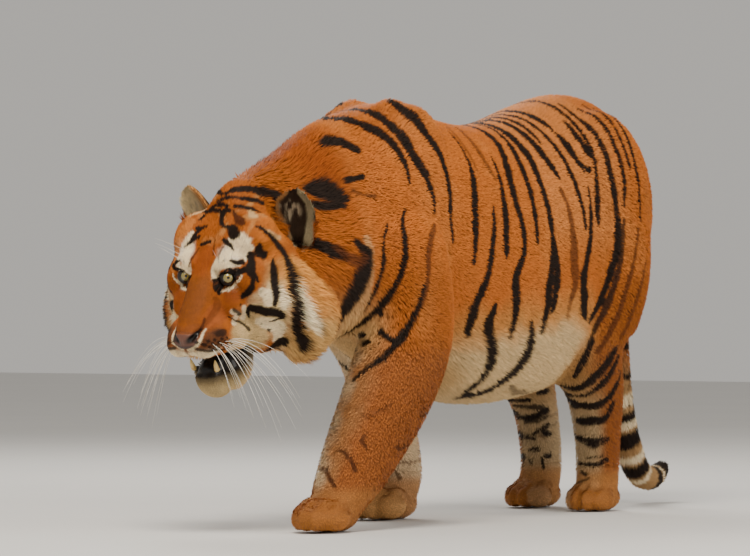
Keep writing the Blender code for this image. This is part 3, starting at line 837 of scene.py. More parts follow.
def build_skin():
    """The whole animal's skin as one closed surface."""
    skin = body_form().skin(0.0110, 8)
    thin = skin.modifiers.new("thin", "DECIMATE")
    thin.ratio = 0.58
    apply_modifiers(skin)
    sink(skin)
    head = head_form().skin(0.0053, 8)
    trim(head, NECK_PLANE[0] + NECK_PLANE[1] * 0.03, -NECK_PLANE[1])
    sink(head)
    pieces = []
    for side, sign in SIDES:
        pieces.append(ear_solid(side, 0.0034))
        sink(pieces[-1], 0.0012)
    jaw = jaw_form().skin(0.0052, 5)
    sink(jaw)
    for name in PAWS:
        paw = paw_form(name).skin(0.0062, 2)
        trim(paw, (0, 0, 0.118), (0, 0, -1))
        sink(paw)
        pieces.append(paw)
    for piece in (jaw, *pieces, head):
        union(skin, piece)
    skin.name = "skin"
    mesh = bmesh.new()
    mesh.from_mesh(skin.data)
    bmesh.ops.holes_fill(mesh, edges=[e for e in mesh.edges if e.is_boundary], sides=24)
    bmesh.ops.triangulate(mesh, faces=mesh.faces)
    for sign in (1, -1):
        for reach in (0.037, 0.029, 0.021):
            split_near(mesh, (EYE_SIDE * sign, -0.008, 0), reach)
    for y, z, reach in ((-0.120, -0.100, 0.050), (-0.142, -0.092, 0.034), (-0.146, -0.084, 0.025)):
        split_near(mesh, (0, y, z), reach)
    mesh.to_mesh(skin.data)
    mesh.free()
    points = points_of(skin.data)
    at, h = areas(points), to_head(points)
    seams = at["head"] * rise(0.10, 0.15, h[:, 1]) * (1 - at["ear_left"]) * (1 - at["ear_right"])
    seams = np.maximum(seams, rise(-0.24, -0.32, points[:, 1]) * (1 - at["head"]))
    seams = np.maximum(seams, at["paw"] * rise(0.06, 0.09, points[:, 2]))
    soften(skin, seams, 8)
    points, normals = points_of(skin.data), normals_of(skin.data)
    h = shape_nose(shape_lids(to_head(points)), normals @ HEAD_TURN)
    near = areas(points)["head"] > 0.5
    points[near] = from_head(h)[near]
    points[:, 2] = np.maximum(points[:, 2], 0.0)
    move_points(skin.data, points)
    skin.data.materials.clear()
    skin.data.shade_smooth()
    return skin


# ---- Markings ------------------------------------------------------------------------------------

BLACK, BROWN = rgb(34, 23, 16), rgb(86, 44, 20)
WHITE, CREAM = rgb(246, 224, 184), rgb(206, 170, 118)
GOLD = rgb(196, 120, 56)

# Strokes on the flanks, as station, height and half width in millimetres, after a strength.
FLANK = """
w.45: -285 660 10, -292 600 16, -300 550 22, -300 490 30, -290 440 26
w.4: -262 470 10, -270 420 12
1: -295 875 10, -260 888 14, -220 872 10
1: -400 775 8, -355 775 20, -320 765 18, -290 755 8
1: -285 797 6, -230 810 6
1: -395 745 7, -350 738 9, -300 738 6
.6: -270 775 6, -220 765 6
1: -315 652 10, -295 625 16, -315 580 22, -345 530 22, -355 490 12
1: -430 655 12, -390 635 14, -365 625 10
1: -215 700 3, -240 660 4, -250 610 5, -262 560 5, -270 510 3
1: -160 735 3, -200 680 5, -212 630 6, -220 580 6, -235 530 8, -248 470 9, -260 420 7
1: -100 1000 8, -92 930 12, -88 870 12, -68 820 11, -55 770 7, -58 730 4
b.8: -85 700 4, -130 675 8, -155 635 9, -158 600 6, -165 550 5, -190 480 5
1: -170 560 4, -185 505 6, -205 455 8, -215 440 8
1 X: 206 455 8, 202 438 8, 192 415 7, 176 390 6, 142 364 5, 119 341 3
1 X: 160 500 5, 142 472 8, 128 452 8, 112 438 7, 88 412 5, 66 392 4
1: -215 940 6, -175 940 13, -140 915 14, -123 875 11, -122 830 6, -128 795 3
1: -35 985 12, -35 940 13, -18 900 11, 8 865 12, 22 820 10, 18 770 8, 4 720 6, 6 660 4
1: 165 920 3, 158 870 5, 145 815 9, 122 770 11, 106 720 10, 94 665 8, 84 615 5
1: 192 745 4, 178 700 7, 160 655 9, 146 605 9, 125 560 10, 105 515 13, 108 475 12, 118 450 6
1: 400 950 6, 375 900 11, 345 860 11, 318 820 12, 302 770 12, 302 720 10, 300 670 9, 285 630 8, \
    262 600 10, 247 570 14, 255 520 15, 262 475 10, 258 445 6
1: 285 860 4, 270 820 6, 255 780 7, 242 740 10, 228 695 11, 218 650 9, 212 625 4
.5: 190 930 3, 180 880 6, 175 830 5
.6: 260 935 5, 243 895 8, 236 850 8, 245 810 4
1: 445 945 4, 425 900 7, 405 860 9, 392 815 9, 380 765 10, 368 715 9, 357 665 6
1: 465 965 8, 462 900 13, 457 860 13, 447 810 9, 440 760 10, 434 700 10, 424 650 10, 408 600 13, \
    395 550 15, 392 500 13, 386 460 8
1: 434 660 8, 432 600 13, 425 550 14, 418 505 9
1: 520 975 8, 519 930 10, 522 880 12, 530 840 10, 540 815 5
1: 555 980 6, 551 930 7, 548 900 3
1: 585 970 6, 590 920 6, 598 860 8, 600 800 9, 603 745 8, 597 700 6
b.8: 525 790 6, 533 740 9, 530 680 13, 520 620 17, 520 570 15, 508 535 10
b.6: 500 530 6, 500 490 8
1: 660 800 4, 645 750 7, 630 710 9, 610 665 10, 585 620 11, 567 580 16, 570 540 19, 588 505 14, 605 485 6
1: 728 1020 6, 732 980 7, 738 930 6, 736 885 6, 726 845 6, 712 812 8, 694 778 11, 678 745 12, 668 710 7
1: 706 955 6, 712 915 12, 722 885 12, 738 862 4
1: 636 925 6, 645 895 14, 652 865 12, 662 835 4
1: 615 990 6, 628 955 10, 632 935 4
1: 663 860 4, 683 840 8, 700 845 5
1: 762 1000 5, 768 950 7, 772 900 7, 774 850 8, 780 800 9, 780 750 10, 770 700 10, 756 660 10, \
    738 620 11, 712 585 12, 690 545 13, 660 510 13, 630 480 8
1: 812 990 5, 810 950 6, 812 900 7, 818 850 6, 820 800 6, 812 755 4
1: 858 1000 4, 848 970 6, 844 930 6, 848 880 6, 852 845 4
1: 894 995 4, 886 960 6, 882 920 7, 880 870 7, 884 820 7, 886 770 5, 880 720 4
b.8: 862 700 4, 835 655 6, 805 600 7, 775 545 8, 748 490 8, 715 440 8, 690 400 6
.9: 800 720 5, 775 665 8, 755 610 9, 728 555 10, 700 510 10, 672 465 9, 655 420 6
b.7: 885 620 4, 860 570 7, 830 520 8, 800 470 8, 770 430 6
1: 668 430 6, 662 395 8, 662 365 8, 668 340 6
1: 762 410 6, 745 383 13, 722 355 13, 704 328 11, 692 305 7
1: 785 385 6, 768 358 9, 748 330 10, 728 305 8, 715 288 4
1: 815 345 5, 800 315 7, 786 290 9, 768 272 11, 748 262 8
1: 175 515 6, 168 480 14, 182 450 14, 205 425 13, 228 395 13, 243 365 11, 245 335 9, 262 315 10, 300 312 14
1: 335 480 5, 342 450 11, 355 420 15, 352 380 17, 335 345 13, 310 318 14, 270 308 10
.6: 390 330 7, 450 316 9, 530 312 9, 590 318 6
b.8: -375 640 10, -350 622 12, -325 615 12, -305 622 10
1: -228 458 6, -230 446 7, -226 434 7
1 Y: 60 930 4, 95 905 7, 130 870 6, 150 830 3
1 Y: 55 870 4, 95 840 8, 135 800 7, 160 750 3
1 Y: 60 800 4, 100 768 8, 140 725 7, 165 680 3
1 Y: 60 735 3, 100 700 8, 140 660 8, 165 615 4
1 Y: 62 665 3, 100 632 8, 138 595 8, 160 550 4
1 Y: 70 590 3, 100 560 7, 135 528 7
1 Y: 70 515 3, 100 490 7, 130 462 6
1 Y: 60 440 4, 88 420 7, 118 400 5
1 Y: 58 375 4, 85 358 7, 112 345 5
"""

# Strokes round the limbs: turn in degrees from the outer side through the front, height and half width.
LIMB_MARKS = {
    ("FORE", "left"): """
b.8: 62 226 2, 65 208 4, 50 188 3
b.9: 98 178 3, 87 185 4, 67 163 5, 51 140 4
b.9: 119 141 3, 106 142 5, 91 122 5, 77 104 4
b.5: 88 281 2, 74 262 3, 63 269 3, 48 292 2
b.6: 122 232 2, 112 237 3, 104 228 3
b.9: 317 196 3, 332 188 4, 350 192 3
1: 215 300 4, 190 292 6, 160 298 4
1: 225 232 4, 195 224 6, 165 230 4
1: 220 170 3, 190 163 5, 165 168 3
b.8: 330 262 3, 305 270 5, 280 264 4
""",
    ("FORE", "right"): """
b.6: 132 139 2, 158 137 3, 199 143 3
b.7: 122 116 3, 130 100 4
b.5: 200 205 3, 170 200 4, 140 206 3
1: 40 300 4, 0 290 7, 330 296 5
1: 40 225 4, 0 216 7, 320 224 5
1: 30 165 4, 350 158 6, 320 166 4
""",
    ("HIND", "left"): """
1: 112 262 6, 95 265 8, 78 269 9
1: 110 226 6, 90 226 9, 55 229 10, 38 241 8, 25 268 6
1: 138 189 4, 98 178 8, 69 171 10, 39 179 7
.9: 92 134 3, 49 139 4
1: 126 118 3, 69 117 5, 37 129 5
.9: 112 97 4, 95 92 4
.7: 130 69 3, 110 74 3, 87 82 3
1: 220 290 6, 190 282 9, 160 288 6
1: 220 232 5, 190 224 8, 160 230 5
1: 215 180 4, 190 174 7, 160 180 4
""",
    ("HIND", "right"): """
1: 52 272 6, 80 274 7, 96 273 7, 110 273 6
.9: 65 262 4, 85 258 5, 100 255 5, 139 254 5
1: 55 226 4, 80 228 5, 106 229 7, 153 247 5
.9: 85 216 3, 112 219 5, 146 229 5
1: 100 184 3, 118 192 5, 132 199 6, 149 209 5
.5: 156 204 2, 175 210 3, 198 218 2
.5: 161 229 2, 180 234 3, 199 238 2
1: 58 175 4, 83 178 5, 105 174 4
b.6: 112 181 2, 138 179 3
1: 85 145 4, 111 146 5
.9: 58 122 4, 54 102 3
.9: 82 123 3, 90 108 3
1: 121 126 3, 127 101 4
1: 40 300 6, 10 292 9, 330 300 6
1: 30 246 6, 0 240 8, 330 248 6
1: 30 190 5, 0 184 7, 330 192 5
1: 30 132 4, 0 128 6, 330 134 4
""",
}

# Strokes on the head, each on one of three charts: F from the front (x, z), C from the side (y, z), K from
# above (x, y). Those marked * are repeated on the far side. The pale ones come first. The brown strokes down
# the sides of the bridge and by the nose's wings are painted shade in those creases, and the dark stroke below
# the lower lip's corner is partly dark lip and partly painted shade under the whiskers.
HEAD_MARKS = """
h F: 34 4 5, 31 20 9, 37 33 13, 52 42 15, 68 43 17, 84 43 16, 94 48 12
h F: 50 55 8, 62 62 12, 78 64 14, 90 60 11
h F: -36 4 5, -38 20 9, -46 34 11, -56 44 12, -62 54 10, -56 66 7
h F: -66 20 8, -72 34 7
o.9 F: -90 10 8, -92 28 13, -92 46 15, -86 64 15, -72 80 12
h F*: 93 2 2, 85 -8 3, 75 -16 4, 64 -21 5, 53 -22 4, 47 -25 3
w.9 K*: 54 150 5, 66 137 7, 80 124 8
w.8 C*: 105 60 6, 120 40 6, 140 20 5
h C*: 20 -42 8, 26 -58 12, 20 -74 9
h C*: 62 -62 6, 55 -78 9, 48 -96 10
h.9 C*: 2 -112 12, 20 -128 16, 34 -146 16, 26 -166 12
h.8 C*: -20 -64 7, -16 -92 7, -24 -86 5
h C*: 104 -60 8, 92 -86 10, 84 -112 12, 74 -140 12, 80 -170 12
h F*: 39 -71 3, 38 -80 4, 34 -88 5, 22 -96 5, 10 -101 5
h F: 31 4 5, 33 16 8, 42 28 12, 56 34 12, 70 29 9, 83 24 6, 92 26 4
b.45 F*: 37 -30 5, 41 -40 8, 41 -50 9, 38 -58 7, 34 -66 5
b.9 F*: 33 -52 3, 33 -60 4, 32 -67 5
h.9 C*: -42 -62 6, -36 -74 8, -44 -92 8
h F*: 10 -116 6, 26 -114 7, 42 -118 6, 54 -124 5
1 F*: 35 -3 4, 37 -9 7, 41 -14 9, 42 -20 8, 41 -28 3
1 F*: 36 -6 3, 42 5 4, 50 14 4, 58 19 3.5, 66 19 3.5, 74 15 4, 84 11 4.5, 95 14 5
h F: 45 -24 1.8, 49 -21 2.2, 57 -24 2.4, 66 -24 2.6, 76 -15 2.6, 84 -6 2.4, 89 3 2.2, 92 9 1.6
h F: -42 -25 2, -50 -24 3, -60 -22 3.4, -68 -14 3, -73 -6 3, -76 4 2
1 F: 20 75 3, 34 73 8, 48 71 13, 60 69 14
1 F: -22 75 3, -34 72 5, -46 66 6, -54 58 4
1 F*: 33 59 5, 44 55 6, 55 50 5, 65 43 2
1 F*: 68 35 4, 78 29 6, 88 24 7
.6 F*: 56 39 2, 52 35 2
b.7 F: 37 51 2, 33 44 3, 41 35 2
b.8 F: 10 64 2, 15 54 2, 18 42 2
b.9 F: -24 50 2, -33 40 3, -37 26 2
1 C*: 76 44 5, 72 36 9, 68 26 13, 74 16 12
1 C*: 52 32 7, 40 17 9, 28 9 12, 22 -1 11, 22 -12 6, 21 -20 3
1 C*: 18 10 6, 9 7 5
1 C*: 92 -4 3, 80 -18 9, 73 -29 12, 60 -46 12, 50 -60 10, 40 -72 7, 31 -84 5
1 C*: 15 -10 4, 8 -20 7, -2 -32 8, -14 -44 4
1 F*: 90 -95 3, 92 -80 5, 98 -72 8, 109 -78 9, 120 -86 9, 134 -101 11, 144 -119 7
1 F*: 143 -116 6, 134 -121 4, 123 -118 2
.9 C*: -26 -56 3, -23 -54 3
.9 C*: -39 -59 4, -30 -75 5
.9 C*: -50 -70 2, -38 -88 3, -27 -102 4, -19 -123 5
1 C*: 100 73 4, 107 49 6, 120 20 8, 124 -12 10, 113 -38 12, 97 -60 13, 81 -84 14, 68 -104 13, \
    56 -128 13, 51 -150 13, 54 -176 14, 66 -206 12
1 C*: 6 -190 4, 14 -188 9, 30 -184 13, 44 -186 16
.8 C*: 20 -205 8, 40 -214 10
.9 C*: 10 -139 4, 11 -140 4
.5 C*: 1 -118 3, 2 -118 3
.4 C*: 17 -43 4, 18 -43 4
.6 C*: 90 -150 3, 88 -168 6, 94 -190 5
.4 C*: 118 -90 3, 108 -118 3, 100 -140 3
1 F: -20 55 4, -8 58 6, 2 60 4
1 F: -48 72 6, -38 72 4
1 K: 20 125 6, 0 120 5, -22 124 5, -42 126 5, -54 106 4
1 K: 12 122 5, 8 108 6, 12 94 6, 20 88 5
b1 K: 28 128 4, 44 116 9, 58 106 11, 69 95 7
1 K: -60 136 4, -38 128 5, -14 131 6, 14 131 5
1 K: 28 137 5, 44 148 7, 54 156 7, 68 160 5
1 K: -12 138 4, 10 146 5, 26 157 5
1 K: 32 160 5, 44 178 7, 56 196 6
1 K: 2 154 5, 14 172 8, 34 198 11, 46 228 13, 58 248 13
1 K: -6 152 5, -24 168 7, -46 190 8
"""

# Soft patches on the head: middle and half sizes in millimetres (the same on both sides), strength, and tone.
# The chin's patch, the last but one, is tan grey rather than white: its pale fur with painted shade under the
# jaw.
FACE_PATCHES = """
0 40 60  75 90 55  1  164 86 26
95 110 20  45 60 60  0.9  196 112 42
100 75 -90  55 70 85  0.95  210 172 112
150 110 -60  50 60 60  0.8  214 146 72
175 130 -110  60 60 110  0.85  212 146 72
150 90 -200  90 70 75  0.85  206 166 104
110 50 -110  52 60 72  0.9  226 200 148
98 36 -58  34 46 32  0.9  230 204 156
0 -60 -20  34 90 55  1  144 80 32
0 15 30  24 50 40  0.9  160 80 28
64 32 44  38 46 30  0.9  244 230 204
38 -2 22  12 22 18  0.8  236 216 184
92 40 6  22 36 30  0.85  192 106 46
66 0 -42  24 44 24  0.95  150 76 30
40 -60 -62  28 50 26  0.9  168 90 40
66 -44 -124  34 56 34  0.9  200 168 114
30 -125 -114  46 40 18  1  236 216 180
92 -14 -124  32 50 62  1  212 182 130
56 -112 -92  34 42 22  1  106 62 34
18 -128 -60  24 26 9  0.8  150 84 40
0 -70 -205  90 120 85  1  196 170 122
0 50 -215  120 100 70  0.85  226 204 166
"""


class Marks:
    """Strokes as chains of points on the skin, each with its half widths, tone and strength."""

    def __init__(self, mesh):
        self.tree, self.chains, self.swell = surface_of(mesh), [], 1.2
        self.rng = np.random.default_rng(11)

    def land(self, start, way, spare):
        hit = self.tree.ray_cast(Vector(start), Vector(way))[0]
        return np.array(hit if hit is not None else self.tree.find_nearest(Vector(spare))[0])

    def add(self, line, cast):
        """One line of a stroke table. cast turns two chart numbers into a point on the skin."""
        kind, rest = line.split(":")
        rows = np.array([[float(v) for v in row.split()] for row in rest.split(",")])
        kind = kind.split()[0]
        tone = {"b": BROWN, "w": CREAM, "h": WHITE, "o": GOLD}.get(kind[0], BLACK)
        fine = smooth_rows(rows, 4) if len(rows) > 2 else rows
        chain = np.array([cast(a, b) for a, b in fine[:, :2]])
        strength = float(kind.lstrip("bwho") or 1)
        self.chains.append((chain, np.maximum(fine[:, 2], 1.0) / 1000 * self.swell, tone, strength))

    def flank(self, sign):
        far = sign < 0
        for line in FLANK.strip().splitlines():
            slip, lift, swell = self.rng.uniform(-1, 1, 3) * far

            def cast(y, z, line=line, slip=slip, lift=lift):
                y, z = y / 1000 + slip * 0.012, z / 1000 + lift * 0.014
                if "X" in line:
                    return self.land((y * sign, -0.45, z), (0, 1, 0), (y * sign, -0.2, z))
                if "Y" in line:
                    return self.land((y * sign, 1.6, z), (0, -1, 0), (y * sign, 0.9, z))
                return self.land((sign, y, z), (-sign, 0, 0), (0, y, z))

            self.add(line, cast)
            if far:
                chain, widths, tone, strength = self.chains[-1]
                self.chains[-1] = (chain, widths * (1 + swell * 0.15), tone, strength)

    def limb(self, kind, side):
        rows = smooth_rows((FORELEG if kind == "FORE" else HIND_LEG)[side], 4)
        sign = dict(SIDES)[side]

        def cast(turn, height):
            near = np.array([np.interp(-height / 1000, -rows[:, 2], rows[:, k]) for k in (0, 1)])
            axis = np.array((*near, height / 1000))
            out = np.array((math.cos(math.radians(turn)) * sign, -math.sin(math.radians(turn)), 0))
            return self.land(axis + out * 0.15, -out, axis + out * 0.06)

        for line in LIMB_MARKS[kind, side].strip().splitlines():
            self.add(line, cast)

    def head(self):
        self.swell = 1.0
        for line in HEAD_MARKS.strip().splitlines():
            chart = line.split()[1]
            for sign in (1, -1) if "*" in chart else (1,):
                slip, lift = self.rng.uniform(-0.003, 0.003, 2) * (sign < 0)
                slip += 0.012 * (sign < 0 and chart[0] == "C")

                def cast(a, b, sign=sign, slip=slip, lift=lift):
                    a, b = a / 1000 + slip, b / 1000 + lift
                    start, way, spare = {
                        "F": ((a * sign, -0.4, b), (0, 1, 0), (a * sign, 0.05, b)),
                        "C": ((0.5 * sign, a, b), (-sign, 0, 0), (0.1 * sign, a, b)),
                        "K": ((a * sign, b, 0.4), (0, 0, -1), (a * sign, b, 0.09)),
                    }[chart[0]]
                    return self.land(from_head(start), HEAD_TURN @ np.array(way), from_head(spare))

                self.add(line, cast)

    def tail(self):
        """Rings that close up towards the tip: each with its place along the tail, half width and tone."""
        rows = smooth_rows(TAIL, 6)
        length = np.r_[0, np.cumsum(np.linalg.norm(np.diff(rows[:, :3], axis=0), axis=1))]
        end = length[-1]
        places = (0.30, 0.37, 0.44, 0.505, 0.565, 0.625, 0.68, 0.735)
        rings = [(at, half, BLACK) for at, half in zip(places, (5, 6, 6, 7, 6, 7, 7, 8))]
        heights = ((0.260, 13), (0.232, 12), (0.207, 9), (0.172, 22), (0.136, 11), (0.104, 22), (0.078, 9))
        for k, (height, half) in enumerate(heights):
            near = np.argmin(np.abs(rows[:, 2] - height) + (length < 0.5) * 9 + (rows[:, 1] > 1.33) * 9)
            rings.append((near / (len(rows) - 1) * end, half, BLACK if k % 2 else WHITE))
        rings += [(end - 0.135, 30, BLACK), (end - 0.085, 10, WHITE), (end - 0.02, 52, BLACK)]
        self.rings = [(at, half / 1000, tone) for at, half, tone in rings]
        self.tail_length = end

    def paint(self, points, tones, at):
        """Lays the strokes over the tones given."""
        wobble = noise(points, 0.020, 3) * 0.24 + noise(points, 0.006, 4) * 0.16
        for chain, widths, tone, strength in self.chains:
            reach = widths.max() * 2 + 0.004
            near = np.all((points > chain.min(0) - reach) & (points < chain.max(0) + reach), axis=1)
            index = np.flatnonzero(near)
            if not len(index):
                continue
            p = points[index]
            best = np.full(len(p), 9.0)
            for a, b, wa, wb in zip(chain, chain[1:], widths, widths[1:]):
                step = b - a
                t = np.clip((p - a) @ step / max(step @ step, 1e-9), 0, 1)
                away = np.linalg.norm(p - a - t[:, None] * step, axis=1)
                best = np.minimum(best, away / (wa + (wb - wa) * t))
            cover = rise(1.22, 0.80, best + wobble[index]) * strength
            tones[index] = mix(tones[index], tone, cover)
        on = at["tail"] * rise(1.06, 1.10, points[:, 1])
        place = at["tail_place"] * self.tail_length + wobble * 0.006
        for centre, half, tone in self.rings:
            tones = mix(tones, tone, rise(1.15, 0.85, np.abs(place - centre) / half) * on)
        return tones


def base_tones(points, at, h, zone):
    """The coat's ground colours, before its stripes."""
    x, y, z = points.T
    pale = noise(points * np.array((1, 1, 0.35)), 0.05, 8)
    over = z - belly_edge(y) - noise(points, 0.05, 5) * 0.018
    reach = rise(0.0, 0.07, y) * rise(0.76, 0.66, y) * (1 - at["leg"] * 0.7)
    tones = overlay(
        np.tile(rgb(190, 105, 39), (len(points), 1)),
        ((160, 88, 31), rise(0.85, 0.97, z - 0.06 * rise(0.3, 0.8, y)) * 0.6),
        ((190, 104, 40), rise(0.66, 0.52, z) * 0.8),
        ((156, 84, 28), rise(-0.02, -0.12, y) * rise(0.66, 0.54, z) * 0.7),
        ((146, 80, 25), rise(0.62, 0.72, y) * rise(0.66, 0.50, z) * 0.8),
        # Painted light: the upper flank and back towards the rump are paler, where light falls on them.
        ((212, 140, 76), rise(0.36, 0.50, y) * rise(0.88, 0.74, y) * rise(0.60, 0.72, z) * 0.45),
        ((152, 80, 23), at["neck"] * 0.8),
        ((144, 68, 13), at["nape"] * 0.9),
        ((208, 132, 66), rise(0.0, 0.8, pale) * 0.30),
        ((208, 148, 80), rise(0.100, 0.010, over) * reach * 0.8),
        ((210, 180, 132), rise(0.026, -0.034, over) * reach),
        ((206, 166, 110), at["chest"] * rise(0.60, 0.50, z) * rise(0.20, 0.12, np.abs(x)) * 0.9),
        ((206, 168, 114), rise(0.49, 0.44, z) * rise(0.22, 0.12, y) * rise(0.15, 0.10, x) * (y > -0.3)),
        ((220, 192, 152), rise(0.60, 0.68, y) * rise(0.60, 0.50, z) * (np.abs(x) < 0.09) * 0.9),
    )
    # The limbs: pale in front and within, orange outside and behind.
    for k, (rows, sign) in enumerate(LIMBS):
        on = (at["limb"] == k) & (z < 0.52)
        cx, cy = axis_at(rows, z)
        out = unit(np.column_stack([(x - cx) * sign, y - cy]))
        facing = out[:, 0] * 0.8 + out[:, 1] * (1.0 if k < 2 else 0.75)
        facing = facing + noise(points, 0.03, 6) * 0.12
        if k < 2:
            facing = facing - 0.9 * (k == 1)
            lit = mix(rgb(222, 194, 154), rgb(192, 134, 82), rise(-1.30, -1.08, facing))
            lit = mix(lit, rgb(172, 100, 46), rise(-1.12, -0.60, facing))
        else:
            lit = mix(rgb(176, 134, 80), rgb(152, 86, 36), rise(-0.95, 0.30, facing))
            lit = mix(lit, rgb(190, 164, 124), rise(0.20, -0.50, facing) * rise(0.36, 0.20, z) * 0.9)
        lit = mix(lit, rgb(180, 116, 64), rise(0.14, 0.05, z) * 0.5)
        tones = mix(tones, lit, at["leg"] * on * rise(0.50, 0.38, z))
    tones = overlay(
        tones,
        ((196, 134, 70), at["paw"] * 0.6),
        # Painted shade: the tail's orange and its paler hanging part are darker than the trunk's tones.
        ((150, 84, 36), at["tail"]),
        ((170, 132, 86), at["tail"] * rise(0.42, 0.30, z)),
    )
    # The head.
    across = np.abs(h[:, 0]) - 0.010 * rise(-0.01, -0.03, h[:, 0]) * rise(-0.03, 0.0, h[:, 2])
    sided = np.column_stack([across, h[:, 1], h[:, 2]]) * 1000
    head = np.tile(rgb(168, 90, 30), (len(points), 1))
    rough = noise(points, 0.012, 9) * 0.14
    for row in FACE_PATCHES.strip().splitlines():
        patch = np.array([float(v) for v in row.split()])
        away = np.linalg.norm((sided - patch[:3]) / patch[3:6], axis=1)
        head = mix(head, rgb(*patch[7:]), rise(1.15, 0.60, away + rough) * patch[6])
    streak = rise(0.1, 0.7, noise(h * np.array((1.0, 0.3, 1.0)), 0.011, 12))
    head = mix(head, rgb(226, 176, 108), streak * zone["crown"] * 0.35)
    return mix(tones, head, at["head"])


def fine_tones(points, tones, at, h, zone):
    """The small dark places of the face, the ears and the feet, laid over the stripes, some of them painted
    shade.
    """
    x, y, z = np.abs(h[:, 0]), h[:, 1], h[:, 2]
    head = at["head"]
    stations = (0.044, 0.050, 0.064, 0.077, 0.085, 0.090)
    edge = np.interp(x, stations, (-0.022, -0.016, -0.019, -0.009, -0.001, 0.006))
    for sign in (1, -1):
        across, up, away = eye_angles(h, sign)
        measure = lid_measure(across, up)
        side = (h[:, 0] * sign > 0) & (away < 0.036) & (head > 0.5)
        liner = rise(2.25, 1.95, measure) * side
        liner = liner * np.maximum(rise(-0.001, 0.001, z - edge), rise(1.35, 1.25, measure))
        tones = mix(tones, BLACK * 0.6, liner * rise(0.024, 0.022, z))
    rim = zone["nose"] * (rise(-0.086, -0.093, z) + rise(0.024, 0.032, x))
    tones = overlay(tones, ((108, 70, 56), zone["nose"]), ((46, 28, 24), np.clip(rim, 0, 1) * 0.85))
    a, b = nostril(x, z)
    hole = np.exp(-((a / 0.0150) ** 2 + (b / 0.0072) ** 2) * 1.2)
    cleft = np.exp(-((x / 0.0018) ** 2)) * rise(-0.094, -0.098, z) * rise(-0.134, -0.120, z)
    upper, lower = lip_heights(y)
    lip = rise(0.0050, 0.0020, np.abs(z - upper)) + rise(0.0080, 0.0030, np.abs(z - lower - 0.001))
    # Painted shade: the nostrils' hollows and the mouth's opening between the lips are painted dark; the cleft
    # under the nose and the lips' edges are black skin.
    for depth, share in (
        (0.3, np.clip(hole * 1.9, 0, 1) * rise(-0.104, -0.114, y)),
        (0.6, cleft * rise(-0.118, -0.130, y) * 0.9),
        (0.35, mouth_share(h) * head),
        (0.6, np.clip(lip, 0, 1) * rise(0.012, -0.004, y) * (x < 0.078) * head),
    ):
        tones = mix(tones, BLACK * depth, share)
    # Dark grey under the lower lip, deepest towards the mouth's corner: partly the lip's dark fur, partly
    # painted shade beneath the whiskers.
    below = rise(0.034, 0.004, lower - z) * rise(-0.004, 0.004, lower - z)
    below = below * rise(-0.155, -0.120, y) * (y < 0.02)
    tones = mix(tones, rgb(58, 48, 38), below * 0.75 * head * (x < 0.078))
    for row in range(4):
        for step in range(5):
            away = from_spot(y, z, row, step)
            tones = mix(tones, BLACK, rise(0.0046, 0.0024, away) * 0.9 * head * (x > 0.02))
    whisker_line = np.interp(x, (0.018, 0.043, 0.062, 0.074), (-0.098, -0.102, -0.113, -0.127))
    line = rise(0.0050, 0.0020, np.abs(z - whisker_line)) * rise(0.020, 0.030, x) * rise(-0.085, -0.092, y)
    tones = mix(tones, BLACK, line * 0.85 * head)
    blotch = length_of(y + 0.094, (z + 0.087) * 2.2) + noise(points, 0.008, 41) * 0.004
    tones = mix(tones, BLACK, rise(0.019, 0.012, blotch) * (x > 0.05) * 0.8 * head)
    for side, sign in SIDES:
        local = ear_points(points, side)
        a, b, c = local.T
        back, hollow = ear_zones(points, side)
        # The near ear's rim is painted grey and its cup dark, painted shade; the far ear's rim is painted pale
        # golden white with its cup only a little darker, painted light. The pale tuft in the cup and the black
        # and white back are the ear's own.
        if sign > 0:
            rim = mix(rgb(150, 138, 108), rgb(166, 112, 62), rise(0.010, -0.030, a) * 0.9)
        else:
            rim = mix(rgb(206, 150, 88), rgb(244, 218, 166), rise(0.020, -0.010, a))
        tuft = rise(0.034, 0.018, np.hypot(a + 0.016, (c - 0.034) * 0.9))
        tuft = tuft * rise(-0.1, 0.5, noise(local * np.array((1, 1, 0.4)), 0.007, 33))
        share = hollow * (1.0 if sign > 0 else 0.35)
        front = overlay(rim, ((48, 35, 25), share), ((176, 158, 130), tuft * hollow * 0.85))
        behind = mix(BLACK, WHITE, rise(1.15, 0.8, length_of(a / 0.020, (c - 0.062) / 0.020)))
        behind = mix(rgb(170, 84, 24), behind, rise(0.018, 0.034, c))
        tones = mix(tones, mix(front, behind, back), at["ear_" + side])
    return mix(tones, rgb(60, 44, 34), at["paw"] * rise(0.012, 0.004, points[:, 2]) * 0.8)


# ---- The coat ------------------------------------------------------------------------------------


